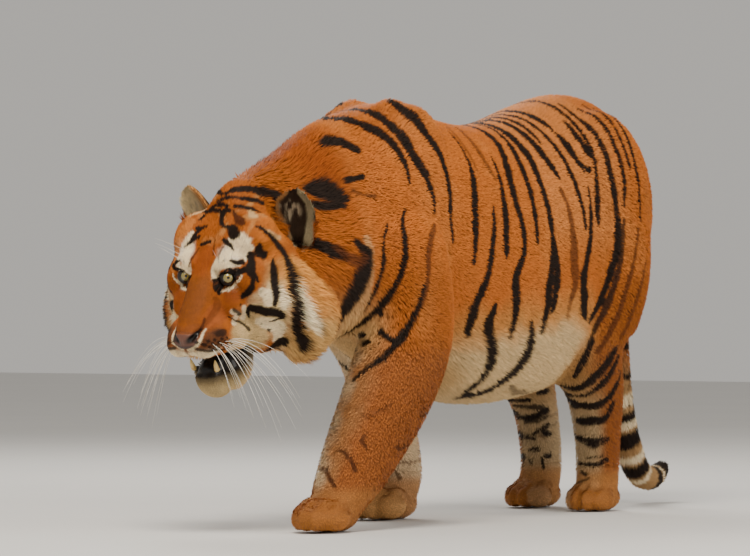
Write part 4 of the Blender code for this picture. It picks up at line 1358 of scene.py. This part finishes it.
def coat_lie(points, normals, at, h, zone):
    """The way the hair lies at each point, along the skin."""
    x, _, z = points.T
    way = np.column_stack([0 * x, 0 * x + 1.0, mix(-0.50, -0.10, rise(0.70, 0.95, z))])
    way = mix(way, (0, 0.85, -0.30), at["belly"])
    way = mix(way, (0, 0.62, -0.80), at["hind"] * rise(0.95, 0.75, z))
    way = mix(way, np.column_stack([x * 1.2, 0 * x + 0.75, 0 * x - 0.62]), at["neck"] * 0.9)
    way = mix(way, np.column_stack([x * 0.8, 0 * x + 0.62, 0 * x + 0.66]), at["nape"])
    way = mix(way, np.column_stack([x * 0.6, 0 * x + 0.10, 0 * x - 1.0]), at["chest"])
    limb = at["limb_way"] + np.array((0, 0.32, 0))
    way = mix(way, limb, at["leg"])
    way = mix(way, (0, -1.0, -0.45), at["paw"] * rise(0.0, 0.5, normals[:, 2]))
    way = mix(way, at["tail_way"], at["tail"])
    start = np.array((0, -0.165, -0.070))
    face = unit(h - start)
    face[:, 0] += np.sign(h[:, 0]) * zone["cheek"] * 0.35
    face = mix(face, np.column_stack([h[:, 0] * 2.2, 0 * x + 0.95, 0 * x + 0.30]), zone["bridge"])
    muzzle = zone["muzzle"] * (1 - zone["bridge"])
    face = mix(face, np.column_stack([h[:, 0] * 5, 0 * x + 0.75, 0 * x - 0.45]), muzzle)
    face = mix(face, np.column_stack([h[:, 0] * 1.5, 0 * x + 1.0, 0 * x + 0.10]), zone["crown"])
    down = np.column_stack([np.sign(h[:, 0]) * 0.55, 0 * x + 0.45, -0.75 + 0 * x])
    face = mix(face, down, zone["ruff"])
    under = np.maximum(zone["chin"], zone["throat"])
    face = mix(face, np.column_stack([h[:, 0] * 2, 0 * x + 0.5, 0 * x - 0.9]), under)
    way = mix(way, face @ HEAD_TURN.T, at["head"])
    for side in ("left", "right"):
        matrix = np.array(EAR_FRAME[side].to_3x3())
        local = ear_points(points, side)
        up = np.column_stack([local[:, 0] * 9, 0 * x, 0 * x + 1.0]) @ matrix.T
        way = mix(way, up, at["ear_" + side])
    way -= normals * np.sum(way * normals, axis=1, keepdims=True)
    return unit(way)


def bare_places(points, at, h, zone):
    """Where no hair grows: the eyes and their lids, the nose, the lips' edge and the soles."""
    bare = np.zeros(len(points))
    for sign in (1, -1):
        across, up, away = eye_angles(h, sign)
        near = (h[:, 0] * sign > 0) & (away < 0.034)
        bare = np.maximum(bare, near * (lid_measure(across, up) < 1.40))
    bare = np.maximum(bare, zone["nose"] > 0.35)
    bare = np.maximum(bare, mouth_share(h) > 0.35) * (at["head"] > 0.5)
    return np.maximum(bare, at["paw"] * (points[:, 2] < 0.004))


def flat_place(points, kind):
    """A place on a flat map of the skin's own shape, for the colour map of each tuft."""
    x, y, z = points.T
    if kind == "head":
        p = to_head(points) - np.array((0, 0.06, -0.05))
        u = np.arctan2(p[:, 0], -p[:, 1]) / math.tau + 0.5
        v = np.arcsin(np.clip(p[:, 2] / np.linalg.norm(p, axis=1), -1, 1)) / math.pi + 0.5
    elif kind == "limbs":
        u, v = np.zeros(len(points)), np.clip(z / 0.55, 0, 1)
        best = np.full(len(points), 9.0)
        for k, (rows, _) in enumerate(LIMBS):
            cx, cy = axis_at(rows, z)
            away = np.hypot(x - cx, y - cy)
            turn = np.arctan2(x - cx, y - cy) / math.tau + 0.5
            u = np.where(away < best, (k + 0.02 + 0.96 * turn) / 4, u)
            best = np.minimum(best, away)
    elif kind == "tail":
        rows = smooth_rows(TAIL, 4)
        place = along_path(points, TAIL)[1]
        station, numbers = place * (len(rows) - 1), np.arange(len(rows))
        axis = np.array([np.interp(station, numbers, rows[:, i]) for i in range(3)]).T
        off = points - axis
        u, v = np.arctan2(off[:, 0], off[:, 1] + off[:, 2]) / math.tau + 0.5, place
    else:
        low, high = y.min() - 0.01, y.max() + 0.01
        u, v = np.arctan2(x, z - 0.66) / math.tau + 0.5, (y - low) / (high - low)
    return np.column_stack([u, v]) * 0.985 + 0.006


class Coat:
    """The skin's fields, read once, and the tufts grown from them."""

    def __init__(self, skin, marks, amount, length):
        mesh = skin.data
        mesh.calc_loop_triangles()
        self.points, self.normals = points_of(mesh), normals_of(mesh)
        self.corners = read_array(mesh.loop_triangles, "vertices", 3, np.int32)
        at, h = areas(self.points), to_head(self.points)
        zone = head_zones(h)
        self.marks, self.scale = marks, length
        self.depth = coat_depth(at, zone)
        self.lie = coat_lie(self.points, self.normals, at, h, zone)
        self.sizes = coat_sizes(self.points, at, zone)
        self.sizes["amount"] = self.sizes["amount"] * amount * (1 - bare_places(self.points, at, h, zone))
        self.tones = base_tones(self.points, at, h, zone)
        a, b, c = (self.points[self.corners[:, k]] for k in range(3))
        self.area = np.linalg.norm(np.cross(b - a, c - a), axis=1) / 2
        middle = (a + b + c) / 3
        at, h = areas(middle), to_head(middle)
        zone = head_zones(h)
        ear = at["ear_left"] + at["ear_right"] > 0.3
        front = (at["head"] > 0.5) & (h[:, 1] < 0.050) & (np.abs(h[:, 0]) < 0.128) & (h[:, 2] > -0.155) & ~ear
        group = np.where(front, 0, np.where((at["head"] > 0.5) | ear, 1, np.where(at["neck"] > 0.5, 2, 3)))
        body = group == 3
        for number, station in ((4, 0.11), (5, 0.36), (6, 0.64)):
            group[body & (middle[:, 1] > station)] = number
        group[body & ((at["leg"] > 0.5) | (at["paw"] > 0.5)) & (middle[:, 2] < 0.42)] = 7
        group[body & (at["tail"] > 0.5)] = 8
        self.group = group

    def grow(self, name, group, kind, blade, most, material, seed):
        """One piece of the coat: blades of four points for short hair, or of five for long."""
        rng = np.random.default_rng(seed)
        mine = np.flatnonzero(self.group == group)
        corners = self.corners[mine]
        wanted = self.area[mine] * 1e4 * self.sizes["amount"][corners].mean(axis=1)
        total = np.r_[0, np.cumsum(wanted)]
        count = int(min(total[-1], most / (2 if blade == "leaf" else 3)))
        pick = (np.arange(count) + rng.random(count)) * total[-1] / count
        face = np.clip(np.searchsorted(total, pick) - 1, 0, len(mine) - 1)
        corners = corners[face]
        a, b = rng.random((2, count))
        over = a + b > 1
        a[over], b[over] = 1 - a[over], 1 - b[over]
        share = np.column_stack([1 - a - b, a, b])

        def read(field):
            return np.einsum("ij,ij...->i...", share, field[corners])

        root, normal, lie = read(self.points), unit(read(self.normals)), unit(read(self.lie))
        length, width = read(self.sizes["length"]) * self.scale, read(self.sizes["width"])
        depth, clump = read(self.depth), read(self.sizes["clump"])
        turn = noise(root, 0.07, 21) * 0.22 + noise(root, 0.02, 22) * 0.16 + rng.normal(0, 0.11, count)
        turn += noise(root, 0.012, 23) * clump * 0.5
        across = np.cross(normal, lie)
        lie = lie * np.cos(turn)[:, None] + across * np.sin(turn)[:, None]
        length = length * rng.uniform(0.70, 1.15, count)
        lift = depth * rng.uniform(0.55, 1.12, count)
        run = np.sqrt(np.maximum(length**2 - lift**2, (0.5 * length) ** 2))
        mid = root + lie * (run * 0.45)[:, None] + normal * (lift * 0.68)[:, None]
        tip = root + lie * run[:, None] + normal * lift[:, None]
        if clump.max() > 0.02:
            leaders = np.arange(0, count, 7)
            tree = KDTree(len(leaders))
            for i, k in enumerate(leaders):
                tree.insert(root[k], i)
            tree.balance()
            lead = leaders[[tree.find(p)[1] for p in root]]
            tip = mix(tip, tip[lead] + (root - root[lead]) * 0.25, clump)
            mid = mid + (mid[lead] - root[lead] - mid + root) * clump[:, None] * 0.5
        roll = rng.uniform(-0.6, 0.6, count)
        side = unit(np.cross(tip - root, normal))
        flat = unit(np.cross(side, tip - root))
        side = side * np.cos(roll)[:, None] + flat * np.sin(roll)[:, None]
        half = (width * rng.uniform(0.7, 1.2, count) / 2)[:, None]
        root = root - normal * 0.0010
        # shade darkens each blade towards its root, painted shade deep in the coat, and lightens its tip a
        # little, painted light on the outer hair.
        if blade == "leaf":
            rows = [root, mid + side * half, mid - side * half, tip]
            faces = np.array([(0, 1, 2), (1, 3, 2)])
            shade = (0.74, 1.0, 1.0, 1.10)
            flats = np.array([(0, 0), (0.0015, 0.0013), (-0.0015, 0.0013), (0, 0.003)])
        else:
            foot = side * half * 0.7
            rows = [root - foot, root + foot, mid + side * half, mid - side * half, tip]
            faces = np.array([(0, 1, 2), (0, 2, 3), (3, 2, 4)])
            shade = (0.66, 0.66, 0.98, 0.98, 1.12)
            flats = np.array([(-0.0015, 0), (0.0015, 0), (0.0015, 0.0015), (-0.0015, 0.0015), (0, 0.003)])
        # Each half of a tuft takes the tone of the place it lies over.
        uneven = 1 + rng.normal(0, 0.09, (count, 1)) + noise(root, 0.010, 31)[:, None] * 0.09
        uneven = np.clip(uneven, 0.5, 1.5)
        halves = []
        for reach in (0.35, 0.80):
            seen = root + lie * (run * reach)[:, None] + rng.normal(0, 0.0008, (count, 3))
            at, h = areas(seen), to_head(seen)
            tones = base_tones(seen, at, h, head_zones(h)) if kind == "head" else read(self.tones)
            tones = self.marks.paint(seen, tones.copy(), at)
            if kind in ("head", "limbs"):
                tones = fine_tones(seen, tones, at, h, head_zones(h))
            halves.append(tones * uneven)
        points = np.stack(rows, axis=1).reshape(-1, 3)
        points[:, 2] = np.maximum(points[:, 2], 0.0004)
        size = len(rows)
        every = (faces[None] + (np.arange(count) * size)[:, None, None]).reshape(-1, 3)
        tones = np.stack([halves[0]] * (size - 1) + [halves[1]], axis=1)
        # Painted shade at each blade's root and painted light at its tip, laid over the place's tone.
        tone = (tones * np.array(shade)[None, :, None]).reshape(-1, 3)
        place = (flat_place(root, kind)[:, None] + flats[None]).reshape(-1, 2)
        leaf = unit(np.cross(side, tip - root))
        leaf *= np.sign(np.sum(leaf * normal, axis=1, keepdims=True))
        soft = unit(normal * 0.80 + leaf * 0.35 + lie * 0.05)
        soft = np.repeat(soft, size, axis=0)
        made = new_mesh(name, points, every, material, np.clip(tone, 0, 1), place[every.ravel()], soft)
        settle(made)


# ---- Finishes ------------------------------------------------------------------------------------


class Value:
    """A shader socket that arithmetic can be written with."""

    def __init__(self, shader, socket):
        self.shader, self.socket = shader, socket

    def math(self, operation, *values):
        node = self.shader.node("ShaderNodeMath", {"operation": operation}, dict(enumerate(values)))
        return Value(self.shader, node.outputs[0])

    def __add__(self, other):
        return self.math("ADD", self, other)

    def __sub__(self, other):
        return self.math("SUBTRACT", self, other)

    def __rsub__(self, other):
        return self.math("SUBTRACT", other, self)

    def __mul__(self, other):
        return self.math("MULTIPLY", self, other)

    __radd__, __rmul__ = __add__, __mul__

    def step(self, low, high):
        """0 below low and 1 above high."""
        values = {"Value": self, "From Min": low, "From Max": high}
        node = self.shader.node("ShaderNodeMapRange", {"interpolation_type": "SMOOTHSTEP"}, values)
        return Value(self.shader, node.outputs[0])


class Finish:
    """A material under construction, with its Principled shader."""

    def __init__(self, name, **constants):
        self.material = bpy.data.materials.new(name)
        self.material.use_nodes = True
        self.tree = self.material.node_tree
        self.surface = self.tree.nodes["Principled BSDF"]
        self.set(**constants)

    def node(self, kind, settings, sockets):
        made = self.tree.nodes.new(kind)
        for name, value in settings.items():
            setattr(made, name, value)
        for name, value in sockets.items():
            self.join(made.inputs[name], value)
        return made

    def out(self, kind, output=0, settings={}, **sockets):
        """One output of a new node, with its inputs by name."""
        return Value(self, self.node(kind, settings, sockets).outputs[output])

    def join(self, socket, value):
        if isinstance(value, Value):
            self.tree.links.new(value.socket, socket)
        else:
            socket.default_value = value

    def set(self, **values):
        """Puts numbers, colours or sockets on the shader: base_color is its Base Color."""
        for name, value in values.items():
            self.join(self.surface.inputs[name.replace("_", " ").title().replace("Ior", "IOR")], value)

    def place(self):
        return self.out("ShaderNodeTexCoord", "Object")

    def attribute(self, name, output):
        return self.out("ShaderNodeAttribute", output, {"attribute_name": name})

    def vector(self, operation, a, b=(0, 0, 0), output=0):
        node = self.node("ShaderNodeVectorMath", {"operation": operation}, {0: a, 1: b})
        return Value(self, node.outputs[output])

    def grain(self, size, detail=2.0, stretch=(1, 1, 1)):
        scaled = self.out("ShaderNodeMapping", Vector=self.place(), Scale=stretch)
        return self.out("ShaderNodeTexNoise", "Fac", Vector=scaled, Scale=1 / size, Detail=detail)

    def blend(self, a, b, share, kind="MIX"):
        made = self.node("ShaderNodeMix", {"data_type": "RGBA", "blend_type": kind}, {})
        self.join(made.inputs["Factor"], share)
        for socket, value in zip((s for s in made.inputs if s.type == "RGBA"), (a, b)):
            self.join(socket, value if isinstance(value, Value) else (*value, 1))
        return Value(self, next(s for s in made.outputs if s.type == "RGBA"))

    def bump(self, height, depth):
        self.set(normal=self.out("ShaderNodeBump", Height=height, Distance=depth, Strength=1.0))


def hide_finish():
    """Skin with short hair pressed on it: fine grain, wet places glossier."""
    made = Finish("Skin", specular_ior_level=0.25)
    tone, wet = made.attribute("tone", "Color"), made.attribute("wet", "Fac")
    fine, broad = made.grain(0.0016, 3.0, (1.0, 0.45, 0.8)), made.grain(0.011, 2.0)
    shade = made.blend(tone, (0.30, 0.26, 0.22), (fine * 0.55 + broad * 0.25 - 0.2) * (1 - wet), "MULTIPLY")
    pores = made.out("ShaderNodeTexVoronoi", Vector=made.place(), Scale=750.0)
    made.set(base_color=shade, roughness=0.72 - wet * 0.38, coat_weight=wet * 0.35)
    made.bump(fine * (1 - wet) * 0.9 + pores * wet * 0.35, 0.0012)
    return made.material


def coat_finish():
    """Hair in tufts, its tone carried by the mesh."""
    made = Finish("Coat hair", specular_ior_level=0.12)
    tone = made.attribute("tone", "Color")
    fine = made.grain(0.0012, 1.0, (1, 0.35, 1))
    made.set(base_color=made.blend(tone, (0.55, 0.50, 0.46), fine.step(0.45, 0.75) * 0.35, "MULTIPLY"))
    made.set(roughness=0.52 + fine * 0.2)
    return made.material


def eye_finish(middle, gaze, iris_tone):
    """A wet eyeball: round pupil, flecked iris with a dark rim, and a dark white beyond it."""
    made = Finish("Eye", specular_ior_level=0.4, coat_roughness=0.02)
    way = made.vector("NORMALIZE", made.vector("SUBTRACT", made.place(), middle))
    angle = made.vector("DOT_PRODUCT", way, gaze, "Value")
    angle = angle.math("ARCCOSINE", angle) * (180 / math.pi)
    fleck = made.out("ShaderNodeTexNoise", "Fac", Vector=way, Scale=26.0, Detail=3.0)
    iris = made.blend(iris_tone, iris_tone * np.array((0.50, 0.42, 0.35)), fleck.step(0.42, 0.68))
    iris = made.blend(iris_tone * np.array((1.1, 0.85, 0.5)), iris, angle.step(13, 22))
    iris = made.blend(iris, (0.010, 0.008, 0.005), (angle + fleck * 3).step(36.0, 41.0))
    pupil = made.blend((0.002, 0.002, 0.002), iris, angle.step(9.5, 11.0))
    white = made.blend(pupil, (0.014, 0.010, 0.008), angle.step(46, 54))
    beyond = angle.step(43, 50)
    made.set(base_color=white, roughness=0.08 + beyond * 0.5, coat_weight=1 - beyond)
    return made.material


def tooth_finish():
    made = Finish("Tooth", specular_ior_level=0.5, coat_weight=0.3)
    stain = made.grain(0.006, 3.0, (1, 1, 0.3))
    made.set(base_color=made.blend(rgb(222, 190, 116), rgb(168, 122, 58), stain.step(0.40, 0.75)))
    made.set(roughness=0.28 + stain * 0.2)
    made.bump(made.grain(0.0012, 2.0, (1, 1, 0.2)), 0.0002)
    return made.material


def whisker_finish():
    made = Finish("Whisker", specular_ior_level=0.5)
    hue = made.grain(0.03, 1.0)
    made.set(base_color=made.blend(rgb(246, 242, 232), rgb(214, 200, 172), hue.step(0.4, 0.8)))
    made.set(roughness=0.30 + hue * 0.1)
    return made.material


def floor_finish():
    made = Finish("Studio floor", specular_ior_level=0.2)
    mottle = made.grain(0.6, 3.0)
    made.set(base_color=made.blend((0.70, 0.69, 0.67), (0.66, 0.65, 0.63), mottle))
    made.set(roughness=0.85 + mottle * 0.05)
    made.bump(made.grain(0.004, 2.0), 0.0003)
    return made.material


# ---- Eyes, teeth and whiskers --------------------------------------------------------------------

LOOK = math.radians(41)
GAZE = np.array((math.sin(LOOK), -math.cos(LOOK), 0.0)) @ HEAD_TURN
DOWN = np.array((0, 0, -1.0)) @ HEAD_TURN


def build_eye(side, sign, iris_tone):
    """An eyeball whose clear front swells a little where it looks."""
    middle = np.array((EYE_SIDE * sign, 0, 0))
    mesh = bmesh.new()
    bmesh.ops.create_uvsphere(mesh, u_segments=56, v_segments=36, radius=1)
    turn = Vector((0, 0, 1)).rotation_difference(Vector(GAZE)).to_matrix().to_4x4()
    bmesh.ops.transform(mesh, matrix=turn, verts=mesh.verts)
    for v in mesh.verts:
        way = v.co.normalized()
        angle = math.degrees(math.acos(max(-1, min(1, way.dot(Vector(GAZE))))))
        swell = 0.0011 * max(0.0, 1 - (angle / 40) ** 2)
        v.co = Vector(from_head(middle + np.array(way) * (EYE_RADIUS - 0.0002 + swell)))
    made = new_object(f"eyeball_{side}", mesh)
    made.data.shade_smooth()
    centre = from_head(middle) + np.array(SHIFT)
    made.data.materials.append(eye_finish(tuple(centre), tuple(GAZE @ HEAD_TURN.T), iris_tone))
    settle(made)
    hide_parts(f"eye_{side}")


def build_teeth():
    """The lower canines, where the lips part."""
    finish = tooth_finish()
    base, point, thick, around = np.array((0.031, -0.099, -0.184)), (0.033, -0.105, -0.156), 0.0066, 14
    for side, sign in SIDES:
        mesh = bmesh.new()
        rings = []
        for t in np.linspace(0, 1, 9):
            middle = base + (np.array(point) - base) * t + np.array((0, 0.006 * t * t, 0))
            radius = thick * (1 - t**1.7) ** 0.75 + 0.0004
            ring = []
            for a in circle(around):
                across = (middle[0] + radius * 0.85 * math.cos(a)) * sign
                along = middle[1] + radius * math.sin(a)
                ring.append(mesh.verts.new(HEAD @ Vector((across, along, middle[2]))))
            rings.append(ring)
        for low, high in zip(rings, rings[1:]):
            for i in range(around):
                j = (i + 1) % around
                mesh.faces.new((low[i], low[j], high[j], high[i]))
        mesh.faces.new(rings[0])
        mesh.faces.new(rings[-1])
        bmesh.ops.recalc_face_normals(mesh, faces=mesh.faces)
        made = new_object(f"lower_canine_{side}", mesh)
        made.data.shade_smooth()
        made.data.materials.append(finish)
        settle(made)


def whisker_tree(finish):
    """Geometry Nodes: each line of the mesh becomes a hair that thins from root to tip."""
    tree = bpy.data.node_groups.new("Whiskers", "GeometryNodeTree")
    socket = tree.interface.new_socket
    socket("Geometry", in_out="INPUT", socket_type="NodeSocketGeometry")
    thick = socket("Root radius", in_out="INPUT", socket_type="NodeSocketFloat")
    socket("Geometry", in_out="OUTPUT", socket_type="NodeSocketGeometry")

    def add(kind, output=0, **inputs):
        made = tree.nodes.new(kind)
        for name, value in inputs.items():
            target = made.inputs[name.replace("_", " ")]
            if isinstance(value, bpy.types.NodeSocket):
                tree.links.new(value, target)
            else:
                target.default_value = value
        return made.outputs[output] if made.outputs else made

    start = tree.nodes.new("NodeGroupInput").outputs
    curve = add("GeometryNodeMeshToCurve", Mesh=start["Geometry"])
    curve = add("GeometryNodeResampleCurve", Curve=curve, Count=10)
    taper = add("ShaderNodeMapRange", Value=add("GeometryNodeSplineParameter"), To_Min=1.0, To_Max=0.18)
    round_ = add("GeometryNodeCurvePrimitiveCircle", Resolution=5, Radius=start["Root radius"])
    hair = add("GeometryNodeCurveToMesh", Curve=curve, Profile_Curve=round_, Scale=taper, Fill_Caps=True)
    real = add("GeometryNodeRealizeInstances", Geometry=hair)
    add("NodeGroupOutput", Geometry=add("GeometryNodeSetMaterial", Geometry=real, Material=finish))
    return tree, thick.identifier


def build_whiskers(skin, longest, root_radius):
    rng = np.random.default_rng(5)
    surface = surface_of(skin.data)
    mesh = bmesh.new()

    def hair(start, aim, way, length, droop):
        """A whisker rooted where a line through the head's frame meets the skin."""
        hit = surface.ray_cast(Vector(from_head(np.array(start))), Vector(HEAD_TURN @ np.array(aim)))[0]
        root, way = to_head(np.array([hit]))[0], unit(np.array(way, float))
        row = []
        for t in np.linspace(-0.02, 1, 9):
            row.append(mesh.verts.new(from_head(root + way * length * t + DOWN * droop * length * t * t)))
        for a, b in zip(row, row[1:]):
            mesh.edges.new((a, b))

    for sign in (1, -1):
        for row in range(1, 5):
            for step in range(1 if row < 3 else 0, 6 if row < 3 else 5):
                back = -0.50 + 0.20 * step + rng.normal(0, 0.07)
                up = 0.06 - 0.18 * row + rng.normal(0, 0.08)
                length = longest * (0.55 + 0.10 * step) * rng.uniform(0.85, 1.1)
                start, way = (0.5 * sign, *whisker_spot(row, step)), (sign * 0.75, back, up)
                hair(start, (-sign, 0, 0), way, length, rng.uniform(0.55, 0.95))
        for k in range(4):
            start = (sign * (0.048 + 0.009 * k), -0.5, 0.031 + 0.004 * k)
            way = (sign * (0.25 + 0.2 * k), -0.45, 0.85)
            hair(start, (0, 1, 0), way, longest * rng.uniform(0.35, 0.5), 0.05)
    guide = new_object("whisker_guides", mesh)
    tree, radius = whisker_tree(whisker_finish())
    grow = guide.modifiers.new("whiskers", "NODES")
    grow.node_group = tree
    grow[radius] = root_radius
    apply_modifiers(guide)
    guide.name = guide.data.name = "whiskers"
    guide.data.shade_smooth()
    settle(guide)


# ---- The studio ----------------------------------------------------------------------------------

CAMERA_TURN, CAMERA_AWAY, CAMERA_HEIGHT = math.radians(32), 12.0, 0.590
CAMERA_LENS, CAMERA_SENSOR, CAMERA_SHIFT = 244.944, 36.0, -0.00667


def area_light(name, middle, offset, size, power, tone):
    data = bpy.data.lights.new(name, "AREA")
    data.shape, data.size, data.energy, data.color = "DISK", size, power, tone
    lamp = link_new(name, data)
    lamp.location = middle + Vector(offset)
    lamp.rotation_euler = (middle - lamp.location).to_track_quat("-Z", "Y").to_euler()


def build_stage():
    mesh = bmesh.new()
    bmesh.ops.create_grid(mesh, x_segments=4, y_segments=4, size=14)
    floor = new_object("studio_floor", mesh)
    floor.data.materials.append(floor_finish())
    floor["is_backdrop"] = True
    world = bpy.data.worlds.new("Studio")
    world.use_nodes = True
    world.node_tree.nodes["Background"].inputs["Color"].default_value = (1.0, 0.96, 0.90, 1)
    world.node_tree.nodes["Background"].inputs["Strength"].default_value = 0.50
    bpy.context.scene.world = world
    low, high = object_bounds()
    middle = (low + high) / 2
    area_light("Key", middle, (1.5, -3.6, 4.4), 2.4, 330, (1.0, 0.93, 0.82))
    area_light("Fill", middle, (4.6, 0.5, 1.6), 3.0, 90, (1.0, 0.97, 0.93))
    area_light("Rim", middle, (-2.6, 2.4, 3.2), 2.0, 120, (1.0, 0.96, 0.90))
    data = bpy.data.cameras.new("Camera")
    data.sensor_width, data.lens, data.shift_y = CAMERA_SENSOR, CAMERA_LENS, CAMERA_SHIFT
    camera = link_new("Camera", data)
    across, along = math.sin(CAMERA_TURN) * CAMERA_AWAY, -math.cos(CAMERA_TURN) * CAMERA_AWAY
    camera.location = Vector((across, along, CAMERA_HEIGHT)) + SHIFT
    camera.rotation_euler = (math.pi / 2, 0, CAMERA_TURN)
    bpy.context.scene.camera = camera


# ---- The add-on ----------------------------------------------------------------------------------

MADE = {}
EYES = ("eye_left", "eye_right")


class TigerSizes(bpy.types.PropertyGroup):
    coat_amount: bpy.props.FloatProperty(
        name="Coat amount", description="Share of the full number of tufts", default=1.0, min=0.05, max=1.2
    )
    coat_length: bpy.props.FloatProperty(
        name="Coat length", description="Hair length against a summer coat's", default=1.0, min=0.5, max=1.3
    )
    whisker_length: bpy.props.FloatProperty(
        name="Whisker length", description="The longest whiskers", default=0.165, unit="LENGTH"
    )
    whisker_radius: bpy.props.FloatProperty(
        name="Whisker radius", description="Half a whisker's thickness", default=0.00055, unit="LENGTH"
    )


class TigerColours(bpy.types.PropertyGroup):
    iris: bpy.props.FloatVectorProperty(
        name="Iris", description="Colour of the irises", subtype="COLOR", size=3, default=(0.28, 0.235, 0.075)
    )


class TIGER_OT_skin(bpy.types.Operator):
    """One closed skin for the whole animal, with lids, nose, lips and toes, in place of the solids of flesh"""

    bl_idname, bl_label = "tiger.skin", "Skin"

    def execute(self, context):
        skin = build_skin()
        marks = Marks(skin.data)
        for sign in (1, -1):
            marks.flank(sign)
        for kind, side in LIMB_MARKS:
            marks.limb(kind, side)
        marks.head()
        marks.tail()
        points = points_of(skin.data)
        at, h = areas(points), to_head(points)
        zone = head_zones(h)
        tones = marks.paint(points, base_tones(points, at, h, zone), at)
        tones = fine_tones(points, tones, at, h, zone)
        bare = bare_places(points, at, h, zone)
        data = skin.data
        # Painted shade: the skin is darker by a fifth wherever hair grows over it, as in the shade of the
        # coat; bare places keep their tone.
        put_tones(data, tones * mix(0.80, 1.0, bare)[:, None])
        wet = data.attributes.new("wet", "FLOAT", "POINT")
        wet.data.foreach_set("value", (bare * at["head"]).astype(np.float32))
        data.materials.append(hide_finish())
        data.polygons.foreach_set("material_index", np.zeros(len(data.polygons), np.int32))
        MADE.update(skin=skin, marks=marks)
        return {"FINISHED"}


class TIGER_OT_eyes(bpy.types.Operator):
    """Two eyeballs, looking the same way"""

    bl_idname, bl_label = "tiger.eyes", "Eyes"

    def execute(self, context):
        for side, sign in SIDES:
            build_eye(side, sign, np.array(context.scene.tiger_colours.iris))
        return {"FINISHED"}


class TIGER_OT_teeth(bpy.types.Operator):
    """The lower canines, where the lips part"""

    bl_idname, bl_label = "tiger.teeth", "Teeth"

    def execute(self, context):
        build_teeth()
        return {"FINISHED"}


class TIGER_OT_whiskers(bpy.types.Operator):
    """Whiskers on the lip pads and over the eyes"""

    bl_idname, bl_label = "tiger.whiskers", "Whiskers"

    def execute(self, context):
        sizes = context.scene.tiger_sizes
        build_whiskers(MADE["skin"], sizes.whisker_length, sizes.whisker_radius)
        return {"FINISHED"}


class TIGER_OT_coat(bpy.types.Operator):
    """The coat, in nine pieces of joined tufts rooted in the skin"""

    bl_idname, bl_label = "tiger.coat", "Coat"

    def execute(self, context):
        sizes = context.scene.tiger_sizes
        amount = sizes.coat_amount * 1.0
        coat = Coat(MADE["skin"], MADE["marks"], amount, sizes.coat_length)
        finish = coat_finish()
        for group, (name, kind, blade, most) in enumerate(
            (
                ("coat_face", "head", "leaf", 190000),
                ("coat_head", "head", "blade", 195000),
                ("coat_neck", "trunk", "blade", 190000),
                ("coat_shoulders", "trunk", "leaf", 180000),
                ("coat_ribs", "trunk", "leaf", 165000),
                ("coat_loin", "trunk", "leaf", 165000),
                ("coat_rump", "trunk", "leaf", 180000),
                ("coat_legs", "limbs", "leaf", 180000),
                ("coat_tail", "tail", "blade", 60000),
            )
        ):
            coat.grow(name, group, kind, blade, most, finish, 100 + group)
        return {"FINISHED"}


class TIGER_OT_finish_skin(bpy.types.Operator):
    """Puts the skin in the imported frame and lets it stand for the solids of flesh"""

    bl_idname, bl_label = "tiger.finish_skin", "Settle the skin"

    def execute(self, context):
        skin = MADE["skin"]
        settle(skin)
        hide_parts(*[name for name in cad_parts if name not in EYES])
        return {"FINISHED"}


class TIGER_OT_stage(bpy.types.Operator):
    """Pale floor, soft lights and the camera"""

    bl_idname, bl_label = "tiger.stage", "Studio"

    def execute(self, context):
        build_stage()
        return {"FINISHED"}


STEPS = (
    TIGER_OT_skin,
    TIGER_OT_eyes,
    TIGER_OT_teeth,
    TIGER_OT_whiskers,
    TIGER_OT_coat,
    TIGER_OT_finish_skin,
    TIGER_OT_stage,
)


class TIGER_PT_panel(bpy.types.Panel):
    """Lists the tiger's steps and sizes"""

    bl_idname, bl_label = "TIGER_PT_panel", "Walking tiger"
    bl_space_type, bl_region_type, bl_category = "VIEW_3D", "UI", "Tiger"

    def draw(self, context):
        for step in STEPS:
            self.layout.operator(step.bl_idname)
        for group in (context.scene.tiger_sizes, context.scene.tiger_colours):
            for name in group.__annotations__:
                self.layout.prop(group, name)


CLASSES = (TigerSizes, TigerColours, *STEPS, TIGER_PT_panel)


def register():
    for cls in CLASSES:
        bpy.utils.register_class(cls)
    bpy.types.Scene.tiger_sizes = bpy.props.PointerProperty(type=TigerSizes)
    bpy.types.Scene.tiger_colours = bpy.props.PointerProperty(type=TigerColours)


def unregister():
    del bpy.types.Scene.tiger_sizes
    del bpy.types.Scene.tiger_colours
    for cls in reversed(CLASSES):
        bpy.utils.unregister_class(cls)


def main():
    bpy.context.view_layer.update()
    register()
    for step in STEPS:
        getattr(bpy.ops.tiger, step.bl_idname.split(".")[1])()


if __name__ == "__main__":
    main()
